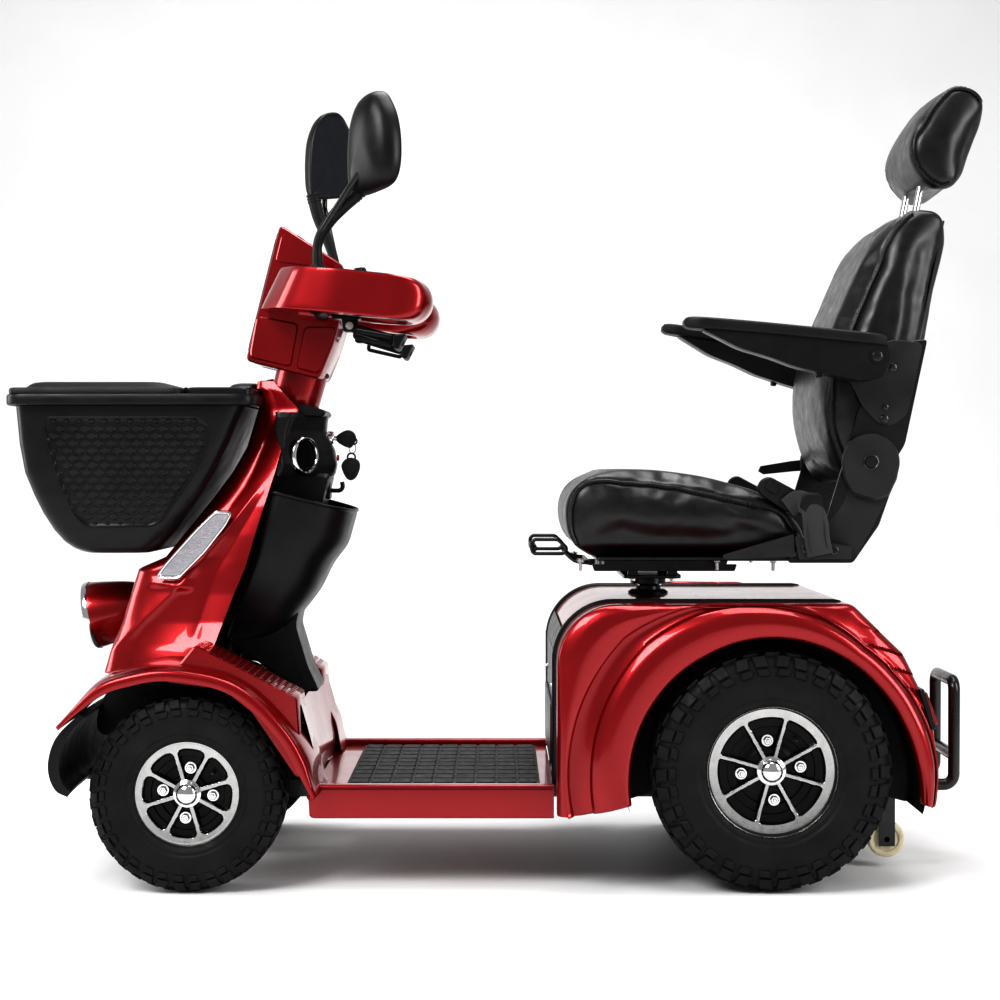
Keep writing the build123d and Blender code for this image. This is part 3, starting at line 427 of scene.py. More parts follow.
RED = candy_red()
PLASTIC = satin_plastic("black_plastic")
GRAINED = satin_plastic("black_grained_plastic", low=0.42, high=0.56, grain=900, depth=0.00022)
PAINT = frame_paint()
COVER = satin_plastic("side_cover_plastic", (0.017, 0.0165, 0.0165), 0.36, 0.48, 1100, 0.0001)
# The hex cells are the same black moulding as the basket shell but are coloured lighter, so the grooves
# between them read dark: a painted highlight on the cells and painted shade in the grooves.
CELL_PAINTED_HIGHLIGHT = satin_plastic("embossed_plastic_painted_highlight", (0.011, 0.011, 0.0115), 0.24, 0.34)
ALLOY = metal("alloy_rim", (0.47, 0.465, 0.46), 0.22, 0.34, 90, 0.00003)
CHROME = metal("chrome_trim", (0.72, 0.72, 0.73), 0.05, 0.12, 60, 0.00001)
STEEL = metal("bare_steel", (0.62, 0.62, 0.61), 0.28, 0.45)
CAST = metal("cast_casing", (0.34, 0.34, 0.345), 0.45, 0.62, 300, 0.0003)
WINDOW = dark_gloss()
TYRE = rubber("tyre_rubber")
SEAL = rubber("seal_rubber", (0.005, 0.005, 0.0053), 0.36, 0.5)
MAT = mat_finish()
LEATHER = leather()
THREAD = rubber("seam_thread", (0.03, 0.03, 0.031), 0.5, 0.7)
WEBBING = webbing()
CLEAR = clear_plastic("clear_lens", (0.96, 0.97, 1.0))
RED_LENS = clear_plastic("red_lens", (0.75, 0.01, 0.01), 0.08)
REFLECTOR = metal("reflector_silver", (0.93, 0.93, 0.94), 0.06, 0.16, 120, 0.00004)
MIRROR_GLASS = metal("mirror_glass", (0.085, 0.09, 0.10), 0.03, 0.06, 20, 0.00001)
CREAM = cream()
BATTERY = satin_plastic("battery_case", (0.03, 0.031, 0.034), 0.4, 0.55, 600, 0.0002)
AMBER = satin_plastic("indicator_red", (0.45, 0.01, 0.008), 0.2, 0.3)

FINISHES = {
    "red_gloss": RED, "black_plastic": PLASTIC, "black_frame_paint": PAINT, "bare_steel": STEEL,
    "cast_casing": CAST, "battery_case": BATTERY, "mat_rubber": MAT, "clear_lens": CLEAR,
            "red_lens": RED_LENS,
    "roller_cream": CREAM, "black_leather": LEATHER, "belt_webbing": WEBBING, "chrome_trim": CHROME,
    "alloy_rim": ALLOY, "tyre_rubber": TYRE,
}
NODE_SLOTS = {s["node"]: s["material_slot"] for s in frame["record"]["subparts"]}
for node_name, node_obj in frame["nodes"].items():
    node_obj.data.materials.clear()
    node_obj.data.materials.append(FINISHES[NODE_SLOTS[node_name]])


# ---- Wheels ---------------------------------------------------------------------------------
def about(centre, side):
    """A function from (radius, outward, angle) to a point on a wheel."""
    cx, cy, cz = centre

    def place(r, out, turn):
        return cx + r * math.cos(turn), cy + side * out, cz + r * math.sin(turn)
    return place


TREAD_BLOCKS = 34


def tyre(name, body, centre, side, tyre_r, half, rim_r):
    """Smooth side walls with two fine rings, and rows of moulded tread blocks over both shoulders."""
    height = tyre_r - rim_r
    side_wall = [
        (0.60, -0.02), (0.74, 0.0), (0.80, 0.05), (0.855, 0.12), (0.845, 0.15), (0.90, 0.19), (0.935, 0.30),
        (0.96, 0.44), (0.95, 0.58), (0.935, 0.60), (0.93, 0.64), (0.87, 0.78), (0.74, 0.885), (0.52, 0.925),
        (0.26, 0.938), (0.0, 0.94),
    ]
    half_profile = [(half * a, rim_r + height * b) for a, b in side_wall]
    profile = spline(half_profile + [(-a, r) for a, r in reversed(half_profile[:-1])], 110)
    place = about(centre, side)
    b = Build()
    turns = np.linspace(0, 2 * math.pi, 120, endpoint=False)
    b.grid([[place(r, a, t) for a, r in profile] for t in turns], wrap_rows=True)
    along = np.linspace(0, 1, len(profile))
    slope = np.gradient(profile, axis=0)
    outward = np.stack([slope[:, 1], -slope[:, 0]], axis=1)
    outward /= np.linalg.norm(outward, axis=1)[:, None]
    if outward[len(profile) // 2][1] < 0:
        outward = -outward

    def skin(u, lift):
        a = np.interp(u, along, profile[:, 0]) + lift * np.interp(u, along, outward[:, 0])
        r = np.interp(u, along, profile[:, 1]) + lift * np.interp(u, along, outward[:, 1])
        return a, r

    tall = 0.056 * height
    pitch = 2 * math.pi / TREAD_BLOCKS
    rows = [(0.228, 0.268, 0.0, 0.62, 0.8), (0.276, 0.338, 0.10, 0.68, 1.0),
            (0.350, 0.412, 0.52, 0.70, 1.0), (0.424, 0.492, 0.05, 0.66, 1.0)]
    rows += [(1 - high, 1 - low, shift + 0.5, wide, lift) for low, high, shift, wide, lift in rows]
    for low, high, shift, wide, lift in rows:
        for i in range(TREAD_BLOCKS):
            middle = (i + shift) * pitch
            jog = 0.10 * pitch * (1 if i % 2 else -1)
            rings = []
            for level, grow in ((-0.6, 1.0), (tall * lift * 0.75, 0.94), (tall * lift, 0.80)):
                spread = 0.5 * wide * pitch * grow
                inset = 0.5 * (high - low) * (1 - grow)
                ring = []
                for u, turn in ((low + inset, -spread), ((low + high) / 2, -spread),
                                (high - inset, -spread), (high - inset, spread), ((low + high) / 2, spread),
                                (low + inset, spread)):
                    lean = jog * (u - low) / (high - low)
                    a, r = skin(u, level)
                    ring.append(place(r, a, middle + turn + lean))
                rings.append(ring)
            b.grid(rings, wrap_columns=True, caps=True)
    b.piece(f"{name}_tyre_shell", [TYRE], body, [f"{name}_tyre"], angle=28)


def window_depth(r, turn, rim_r, spoke, inner, outer, corner, first):
    """How far a point of the wheel face is inside a window, in millimetres; negative on the metal."""
    pitch = math.pi / 4
    local = (turn - first + pitch / 2) % pitch - pitch / 2
    corner = float(np.interp(r, (0.34 * rim_r, 0.66 * rim_r), (2.5, corner)))
    edges = (r * abs(math.sin(local)) - spoke, outer - r, r - inner)
    over = [max(corner - e, 0.0) for e in edges]
    return corner - math.sqrt(sum(o * o for o in over))


def rim(name, body, centre, side, half, rim_r, spoke, inner, outer, corner, first, nut_r):
    """A machined face with eight windows, a dark bowl behind them, lug nuts, and a domed hub cap."""
    place = about(centre, side)
    b = Build()
    face = 0.60 * half
    lip = [(rim_r * 0.955, 0.0), (rim_r * 0.985, 0.8), (rim_r * 0.998, 3.2), (rim_r + 1.5, 0.16 * half),
           (rim_r + 3.0, 0.20 * half), (rim_r + 3.4, 0.15 * half), (rim_r + 1.5, 0.10 * half)]
    turns = np.linspace(0, 2 * math.pi, 416, endpoint=False)
    radii = np.arange(0.14 * rim_r, 0.955 * rim_r, 1.35)
    inside = np.zeros((len(turns), len(radii) + len(lip)))
    rows = []
    for i, turn in enumerate(turns):
        row = []
        for j, r in enumerate(radii):
            depth = window_depth(r, turn, rim_r, spoke, inner, outer, corner, first)
            inside[i, j] = depth
            dish = face + 0.0016 * (r - 0.5 * rim_r) ** 2 * (0.35 if r < 0.5 * rim_r else 1.0) - 3.0
            bowl = 15.0 - (4.0 if r > 0.55 * rim_r else 0.0) - (3.5 if r > 0.7 * rim_r else 0.0)
            drop = smooth_step(0.0, 1.6, depth) * 5.0 + smooth_step(1.2, 3.6, depth) * (bowl - 5.0)
            row.append(place(r, dish - float(drop), turn))
        edge_out = face + 0.0016 * (0.45 * rim_r) ** 2 - 3.0
        row += [place(r, edge_out + out, turn) for r, out in lip]
        rows.append(row)
    b.grid(rows, slot=lambda i, j: 1 if inside[i, j] > 0.7 else 0, wrap_rows=True)
    b.revolve([(rim_r + 1.5, 0.10 * half + edge_out), (rim_r - 1, 0.62 * half), (rim_r - 9, 0.3 * half),
               (rim_r - 12, -0.2 * half), (rim_r - 9, -0.6 * half), (rim_r - 1, -0.76 * half),
               (rim_r + 3, -0.82 * half), (rim_r - 1, -0.86 * half), (rim_r - 13, -0.62 * half),
               (rim_r - 17, -0.1 * half), (0.42 * rim_r, 0.18 * half), (14, 0.16 * half)],
              centre, (0, side, 0), 96, 1)
    b.piece(f"{name}_rim_face", [ALLOY, WINDOW], body, [f"{name}_rim"], angle=40)

    hub = Build()
    cap = 0.205 * rim_r if rim_r < 100 else 0.172 * rim_r
    base = face - 4.5
    hub.revolve([(cap * 1.28, base), (cap * 1.28, base + 3), (cap * 1.12, base + 4.5),
                 (cap * 1.1, base + 8), (cap * 1.0, base + 9)]
                + [(cap * math.cos(a), base + 9 + 0.62 * cap * math.sin(a)) for a in np.linspace(0.05, 1.57,
                                                                                                 12)],
                centre, (0, side, 0), 64, 0)
    window_centre = first - math.pi / 8
    for i in range(4):
        turn = window_centre + i * math.pi / 2
        seat = np.array(place(nut_r, face - 16, turn))
        hub.revolve([(0, 0), (10.5, 0), (10.5, 2.2), (9, 3), (0, 3)], seat, (0, side, 0), 24, 1)
        hub.bolt(seat + np.array([0, side * 3, 0]), (0, side, 0), 7.2, 7.0, 0, washer=1.4)
        hub.revolve([(3.2, 7), (3.2, 13), (2.4, 13.8), (0, 13.8)], seat, (0, side, 0), 16, 0)
    hub.revolve([(18, base - 30), (18, base - 6), (12, base - 6)], centre, (0, side, 0), 32, 1)
    valve = place(0.62 * rim_r, face - 14, window_centre + math.pi / 4)
    hub.revolve([(3.6, 0), (3.6, 8), (2.6, 9), (2.6, 17), (2.0, 18), (0, 18)], valve, (0, side, 0), 16, 1)
    hub.piece(f"{name}_hub_cap", [CHROME, PAINT], body, [f"{name}_hub"], angle=32)


def wheels():
    """Tyre, rim and hub of the four road wheels. first is the angle of the first spoke, in radians."""
    for side, hand in HANDS:
        centre = (-528, side * 275, 165)
        body = f"front_{hand}_wheel"
        tyre(f"front_{hand}", body, centre, side, tyre_r=165, half=55, rim_r=88)
        rim(f"front_{hand}", body, centre, side, half=55, rim_r=88, spoke=2.9, inner=20, outer=75,
            corner=11, first=0.29, nut_r=42)
        centre = (446, side * 270, 203)
        body = f"rear_{hand}_wheel"
        tyre(f"rear_{hand}", body, centre, side, tyre_r=203, half=65, rim_r=106)
        rim(f"rear_{hand}", body, centre, side, half=65, rim_r=106, spoke=2.6, inner=24, outer=90, corner=5,
            first=0.508, nut_r=50)


def anti_tip_wheels():
    """Cream rollers with a raised hub and a bare steel bolt."""
    for side, hand in HANDS:
        b = Build()
        profile = [(5.2, -11), (12, -11), (13, -9), (21, -8.2), (23, -10.6), (30, -10.8), (32.4, -8),
                   (33, -4), (33, 4), (32.4, 8), (30, 10.8), (23, 10.6), (21, 8.2), (13, 9), (12, 11),
                   (5.2, 11)]
        b.revolve(spline(profile, 60), (677, side * 100, 52), (0, 1, 0), 72)
        b.bolt((677, side * 111, 52), (0, side, 0), 6, 4, slot=1)
        b.piece(f"anti_tip_{hand}_roller", [CREAM, STEEL], f"anti_tip_{hand}",
                [f"anti_tip_wheel_{hand}"])


wheels()
anti_tip_wheels()


# ---- Upholstery -----------------------------------------------------------------------------
def evaluated(obj):
    """Applies every modifier of an object to its mesh."""
    depsgraph = bpy.context.evaluated_depsgraph_get()
    mesh = bpy.data.meshes.new_from_object(obj.evaluated_get(depsgraph))
    obj.modifiers.clear()
    obj.data = mesh


def relax(points, edges, rounds):
    """Laplacian smoothing of a point array: each round moves a point half way to its neighbours' middle."""
    count = np.zeros(len(points))
    np.add.at(count, edges.ravel(), 1)
    for _ in range(rounds):
        total = np.zeros_like(points)
        np.add.at(total, edges[:, 0], points[edges[:, 1]])
        np.add.at(total, edges[:, 1], points[edges[:, 0]])
        points = points + 0.5 * (total / count[:, None] - points)
    return points


def read_points(mesh):
    flat = np.empty(len(mesh.vertices) * 3)
    mesh.vertices.foreach_get("co", flat)
    return flat.reshape(-1, 3)


def read_edges(mesh):
    flat = np.empty(len(mesh.edges) * 2, dtype=int)
    mesh.edges.foreach_get("vertices", flat)
    return flat.reshape(-1, 2)


def write_points(mesh, points):
    mesh.vertices.foreach_set("co", np.asarray(points, float).ravel())
    mesh.update()


CLOTH_FRAMES = 20


def stuffed(name, outline, half_y, body, node, cap, shrink, soften_rounds, pull_in):
    """A padded form blown up with cloth pressure from a copy of its side outline that is smaller by shrink.

    cap limits how far a point may swell, and pull_in draws the sides in between their corners.
    """
    b = Build()
    smaller = rounded(outline, 26)
    middle = smaller.mean(axis=0)
    spread = np.abs(smaller - middle).max(axis=0)
    smaller = middle + (smaller - middle) * (1 - shrink / spread)
    b.prism(smaller, -half_y + shrink, half_y - shrink, edge=9)
    obj = b.piece(name, [LEATHER], body, [node])
    modifier(obj, "REMESH", mode="VOXEL", voxel_size=0.0055)
    evaluated(obj)
    mesh = obj.data
    edges = read_edges(mesh)
    write_points(mesh, relax(read_points(mesh), edges, soften_rounds))
    start = read_points(mesh)
    cloth = obj.modifiers.new("cloth", "CLOTH")
    cloth.settings.use_pressure = True
    cloth.settings.uniform_pressure_force = 4.0
    cloth.settings.effector_weights.gravity = 0.0
    cloth.settings.quality = 4
    cloth.point_cache.frame_start = 1
    cloth.point_cache.frame_end = CLOTH_FRAMES
    for step in range(1, CLOTH_FRAMES + 1):
        bpy.context.scene.frame_set(step)
    evaluated(obj)
    mesh = obj.data
    bpy.context.scene.frame_set(1)
    moved = read_points(mesh) - start
    length = np.linalg.norm(moved, axis=1)
    limit = np.minimum(length, cap * MM) / np.maximum(length, 1e-9)
    write_points(mesh, relax(start + moved * limit[:, None], edges, 6))
    points = read_points(mesh)
    low, high = points.min(axis=0), points.max(axis=0)
    lean = 2 * (points - (low + high) / 2) / (high - low)
    corner = np.abs(lean[:, 0]) * np.abs(lean[:, 2])
    points[:, 1] += np.sign(points[:, 1]) * pull_in * MM * (corner - 0.3) * (np.abs(lean[:, 1]) > 0.6)
    write_points(mesh, points)
    obj.data.materials.clear()
    obj.data.materials.append(LEATHER)
    soften(obj, 80)
    return obj


def surface_of(obj):
    mesh = obj.data
    return BVHTree.FromPolygons([v.co[:] for v in mesh.vertices], [p.vertices[:] for p in mesh.polygons])


def on_surface(tree, points, lift):
    """Points dropped on to a surface, then lifted along its normal. Millimetres in and out."""
    found = []
    for p in points:
        where, normal, _, _ = tree.find_nearest(Vector([c * MM for c in p]))
        found.append(np.array(where) / MM + np.array(normal) * lift)
    return np.array(found)


def sink(obj, path, width, depth):
    """Draws a seam groove along a path: points within width of it sink by up to depth."""
    mesh = obj.data
    points = read_points(mesh) / MM
    path = resample(path, 400)
    normals = np.array([v.normal for v in mesh.vertices])
    nearest = np.full(len(points), 1e9)
    for start in range(0, len(path), 40):
        gap = np.linalg.norm(points[:, None, :] - path[None, start:start + 40, :], axis=2).min(axis=1)
        nearest = np.minimum(nearest, gap)
    fall = np.exp(-(nearest / width) ** 2)
    write_points(mesh, (points - normals * (fall * depth)[:, None]) * MM)


STITCH_SPACING = 7.0
STITCH_HALF = 2.1


def stitches(b, tree, path, offset, slot):
    """A row of short raised threads beside a seam. offset is a vector from the seam to the row."""
    length = np.linalg.norm(np.diff(path, axis=0), axis=1).sum()
    path = resample(path, int(length / STITCH_SPACING))
    ahead = np.gradient(path, axis=0)
    for p, along in zip(path, ahead):
        along = unit(along)
        middle = p + offset
        ends = on_surface(tree, [middle - along * STITCH_HALF, middle, middle + along * STITCH_HALF], 0.25)
        ends[1] += ends[1] - (ends[0] + ends[2]) / 2
        b.tube(ends, [0.35, 0.75, 0.35], 6, slot)


SEAT_SIDE = [(116, 557), (103, 575), (96, 610), (97, 645), (108, 677), (132, 697), (170, 703), (260, 701),
             (343, 689), (430, 664), (484, 642), (530, 575), (534, 557)]
BACK_SIDE = [(598, 664), (580, 694), (568, 728), (554, 765), (548, 812), (554, 878), (578, 948),
             (606, 1014), (650, 1106), (674, 1140), (702, 1165), (755, 1166), (773, 1150), (751, 1043),
             (732, 936), (688, 756), (652, 690), (628, 664)]
HEAD_SIDE = [(756, 1188), (794, 1190), (856, 1357), (840, 1378), (809, 1390), (784, 1384), (742, 1332),
             (714, 1292), (706, 1262), (720, 1225)]


def quilted(obj, seam_xz, half_y, body, name):
    """Piping along both side seams, in a shallow groove, with a thread row on each side of it."""
    tree = surface_of(obj)
    trim = Build()
    for side in (LEFT, RIGHT):
        path = spline([(x, side * half_y, z) for x, z in seam_xz], 220)
        path = on_surface(tree, path, 0.4)
        smooth = spline(path[::6], 240)
        sink(obj, smooth, 7.0, 2.6)
        trim.tube(smooth, 2.5, 10, 0)
        for shift in (-6.5, 7.5):
            stitches(trim, tree, smooth, np.array([0, side * shift, 0]), 1)
    trim.piece(f"{name}_piping", [LEATHER, THREAD], body)
    modifier(obj, "SUBSURF", levels=1, render_levels=1)


def upholstery():
    """The three cushions with their piping, and the headrest's rods."""
    seat = stuffed("seat_cushion_leather", SEAT_SIDE, 240, "seat", "seat_cushion", cap=11, shrink=8,
                   soften_rounds=5, pull_in=3.0)
    seam = [(114, 566), (106, 610), (110, 650), (124, 676), (158, 690), (250, 688), (340, 673), (430, 650),
            (486, 632), (505, 600)]
    quilted(seat, seam, 238, "seat", "seat_cushion")

    back = stuffed("back_cushion_leather", BACK_SIDE, 204, "back", "back_cushion", cap=11, shrink=8,
                   soften_rounds=4, pull_in=2.0)
    seam = [(702, 1160), (682, 1138), (659, 1107), (616, 1015), (588, 950), (563, 879), (556, 815),
            (562, 765), (577, 729), (592, 690)]
    quilted(back, seam, 204, "back", "back_cushion")

    head = stuffed("headrest_leather", HEAD_SIDE, 130, "headrest", "headrest", cap=9, shrink=7,
                   soften_rounds=4, pull_in=2.0)
    seam = [(790, 1196), (765, 1192), (740, 1204), (718, 1233), (711, 1284), (727, 1335), (752, 1366),
            (790, 1382), (838, 1372), (850, 1350)]
    quilted(head, seam, 129, "headrest", "headrest")
    rods = Build()
    for y in (-60, 60):
        rods.tube([(716, y, 1070), (746, y, 1217)], 6.5, 24)
        rods.revolve([(6.6, 0), (15, 0), (15, 4), (12, 6), (7, 7)], (732.5, y, 1152), (0.2, 0, 0.98), 32, 1)
    rods.piece("headrest_rods", [CHROME, PLASTIC], "headrest")


upholstery()


# ---- Rear body ------------------------------------------------------------------------------
REAR_AXLE = np.array([446.0, 203.0])
REAR_SIDE = [(88, 122), (88, 481), (582, 481), (627, 436), (668, 396), (698, 330), (718, 275), (723, 218),
             (716, 147), (700, 122)]


def ray_hit(outline, centre, turn):
    """Distance from centre to a closed outline along a direction."""
    direction = np.array([math.cos(turn), math.sin(turn)])
    best = 0.0
    for a, b in zip(outline, np.roll(outline, -1, axis=0)):
        edge = b - a
        cross = direction[0] * edge[1] - direction[1] * edge[0]
        if abs(cross) < 1e-9:
            continue
        offset = a - centre
        reach = (offset[0] * edge[1] - offset[1] * edge[0]) / cross
        share = (offset[0] * direction[1] - offset[1] * direction[0]) / cross
        if reach > 0 and -1e-6 <= share <= 1 + 1e-6:
            best = max(best, reach)
    return best


def rear_body():
    """Fenders, deck and tail in one skin.

    Round each arch runs a bulged ring, then a valley, a seam and a front panel. Their distances from the
    axle, by angle in degrees, are held in inner, ring and seam.
    """
    outline = np.array(REAR_SIDE, float)
    rest = rounded(outline, 10)
    outline = np.array([p for p in rest if not (p[0] < 200 and p[1] > 370)])
    front = [p for p in outline if p[0] < 200 and p[1] < 380]
    back = [p for p in outline if not (p[0] < 200 and p[1] < 380)]
    arc = [(188 - 100 * math.sin(a), 381 + 100 * math.cos(a)) for a in np.linspace(math.pi / 2, 0, 14)]
    back.sort(key=lambda p: math.atan2(p[1] - 300, p[0] - 400), reverse=True)
    front.sort(key=lambda p: p[1])
    outline = np.array([p for p in front if p[0] < 95] + arc + back + [p for p in front if p[0] >= 95])

    inner = ([-12, 5, 20, 40, 60, 90, 120, 150, 180, 193], [252, 238, 230, 224, 222, 222, 222, 228, 236,
                                                            240])
    ring = ([-12, 3, 24, 40, 54, 72, 95, 115, 135, 150, 180, 193],
            [272, 270, 262, 258, 256, 266, 276, 290, 300, 300, 303, 306])
    seam = ([-12, 3, 24, 40, 54, 72, 95, 112, 125, 138, 165, 193],
            [274, 272, 264, 260, 259, 270, 281, 300, 315, 331, 336, 338])
    rows = []
    for degrees in np.linspace(193, -12, 230):
        turn = math.radians(degrees)
        out = ray_hit(outline, REAR_AXLE, turn)
        r_in = np.interp(degrees, *inner)
        r_ring = min(np.interp(degrees, *ring), out - 3)
        r_seam = min(max(np.interp(degrees, *seam), r_ring + 2), out - 1.5)
        panel = float(smooth_step(100, 132, degrees))
        valley = 9.0 * panel + 5.0 * (1 - panel)
        edge = (330.0 if degrees > 100 else 324.0) - 16.0 * (1 - panel)
        room = max(out - r_seam, 0.5)
        stops = [
            (r_in + 3, 292), (r_in + 1, 306), (r_in, 322), (r_in + 1.5, 329), (r_in + 6, 333.5),
            (r_in + 0.30 * (r_ring - r_in) + 2, 337), (r_in + 0.55 * (r_ring - r_in), 338),
            (r_in + 0.80 * (r_ring - r_in), 334), (r_ring - 2, 325), (r_ring, 321 - 0.4 * valley),
            ((r_ring + r_seam) / 2, 321 - valley), (r_seam - 0.8, 321 - valley), (r_seam, 322),
            (r_seam + 0.10 * room, 0.5 * (322 + edge)), (r_seam + 0.40 * room, edge + 1.5),
            (r_seam + 0.72 * room, edge - 2), (out - 0.12 * room, edge - 7), (out - 0.03 * room, edge - 12),
            (out, edge - 18),
        ]
        reach = np.array([s[0] for s in stops])
        depth = np.array([s[1] for s in stops], float)
        reach[3:] = np.maximum.accumulate(reach[3:])
        pieces_between = [2, 2, 2, 2, 4, 4, 4, 4, 3, 3, 2, 2, 3, 4, 5, 4, 3, 3]
        profile = []
        for i, steps in enumerate(pieces_between):
            for t in np.linspace(0, 1, steps, endpoint=False):
                profile.append((reach[i] + (reach[i + 1] - reach[i]) * t,
                                depth[i] + (depth[i + 1] - depth[i]) * t))
        profile.append((reach[-1], depth[-1]))
        profile = np.array(profile)
        for _ in range(2):
            profile[1:-1, 1] = (profile[:-2, 1] + 2 * profile[1:-1, 1] + profile[2:, 1]) / 4
        row = []
        for r, d in profile:
            x = REAR_AXLE[0] + r * math.cos(turn)
            z = REAR_AXLE[1] + r * math.sin(turn)
            level = z + 0.33 * (x - 600)
            within = smooth_step(r_seam, r_seam + 6, r) * smooth_step(16, 24, degrees) * smooth_step(60, 50,
                                                                                                     degrees)
            step = ((level - 340) / 26.0) % 1.0
            row.append((x, d + 7.0 * float(within) * (1 - step), max(z, 129.5)))
        x, d, z = row[-1]
        crown = [(x, d * t, z) for t in (0.985, 0.95, 0.88, 0.78, 0.64, 0.48, 0.32, 0.16, 0.0)]
        half = row + crown
        whole = [(x, -d, z) for x, d, z in half] + [(x, d, z) for x, d, z in half[-2::-1]]
        rows.append(whole)
    b = Build()
    b.grid(rows)
    shell = b.piece("rear_body_shell", [RED], "chassis", ["rear_body"], angle=50)
    modifier(shell, "SOLIDIFY", thickness=0.004, offset=-1.0)

    liner = Build()
    for side in (LEFT, RIGHT):
        arch = []
        for degrees in np.linspace(196, -16, 90):
            turn = math.radians(degrees)
            r = np.interp(degrees, *inner) + 6
            x = REAR_AXLE[0] + r * math.cos(turn)
            z = max(REAR_AXLE[1] + r * math.sin(turn), 134)
            deep = [(x, side * y, z) for y in (325, 300, 270, 240, 215, 198)]
            arch.append(deep + [(REAR_AXLE[0] + (r - s) * math.cos(turn), side * 194,
                                 max(REAR_AXLE[1] + (r - s) * math.sin(turn), 134)) for s in (6, 60, 120,
                                                                                              176)])
        liner.grid(arch)
    liner.piece("wheel_arch_liners", [GRAINED], "chassis", angle=50)

    trim = Build()
    face = [(82, 170), (82, 300), (82, 392)]
    face += [(186 - 104 * math.sin(a), 381 + 104 * math.cos(a)) for a in np.linspace(math.pi / 2, 0,
                                                                                     16)[1:]]
    face += [(300, 485), (430, 485), (560, 485), (572, 483), (576, 476)]
    section = [(y, lift) for y, lift in zip((-244, -242, -238, -226, -222, -220), (-14, -3, 0, 0, -3, -14))]
    rows = []
    path = np.array(face, float)
    ahead = np.gradient(path, axis=0)
    for p, along in zip(path, ahead):
        normal = unit([-along[1], along[0]])
        rows.append([(p[0] + normal[0] * lift, y, p[1] + normal[1] * lift) for y, lift in section])
    trim.grid(rows)
    trim.grid([[(x, -y, z) for x, y, z in row] for row in rows])
    riser = path[path[:, 1] < 440]
    trim.grid([[(x + 3, y, z) for y in np.linspace(-221, 221, 24)] for x, z in riser])
    trim.prism(rounded([(-196, 300), (196, 300), (196, 196), (-196, 196)], 16), 80, 85, 0, 1.5, axis="x")
    for z in (186, 330):
        for y in (-170, 170):
            trim.bolt((84.5, y, z), (-1, 0, 0), 5, 3, 1)
    trim.piece("seat_box_trim", [PLASTIC, STEEL], "chassis", angle=40)

    tail = Build()
    for side in (LEFT, RIGHT):
        low, high = (190, 308) if side > 0 else (-308, -190)
        b_out = [(697, 334), (717, 279), (724, 281), (704, 335)]
        tail.prism(rounded(b_out, 2), low, high, 0, 1.5)
        for i in range(9):
            y = low + 12 + 11.8 * i
            tail.tube([(706, y, 331), (724.3, y, 283)], 1.6, 8, 0)
        tail.prism(rounded([(690, 340), (712, 272), (719, 274), (698, 341)], 3), low - 6, high + 6, 1, 2)
    tail.piece("tail_lamp_lenses", [RED_LENS, PLASTIC], "chassis", ["tail_lights"])


# ---- Front body -----------------------------------------------------------------------------
def line_gap(points, x, z):
    """Distance from (x, z) to a polyline, and how far along it the nearest point is, 0 to 1."""
    points = np.asarray(points, float)
    best, share = 1e9, 0.0
    spans = len(points) - 1
    for i in range(spans):
        a, b = points[i], points[i + 1]
        t = np.clip(np.dot((x - a[0], z - a[1]), b - a) / np.dot(b - a, b - a), 0, 1)
        gap = math.hypot(x - a[0] - t * (b[0] - a[0]), z - a[1] - t * (b[1] - a[1]))
        if gap < best:
            best, share = gap, (i + t) / spans
    return best, share


# Lines across the side of the front body, in x and z: a raised crease, and a hollow behind it.
CREASE = [(-405, 700), (-440, 655), (-486, 592), (-563, 504), (-654, 417), (-690, 385)]
FACET = [(-404, 690), (-440, 628), (-500, 528), (-534, 417)]


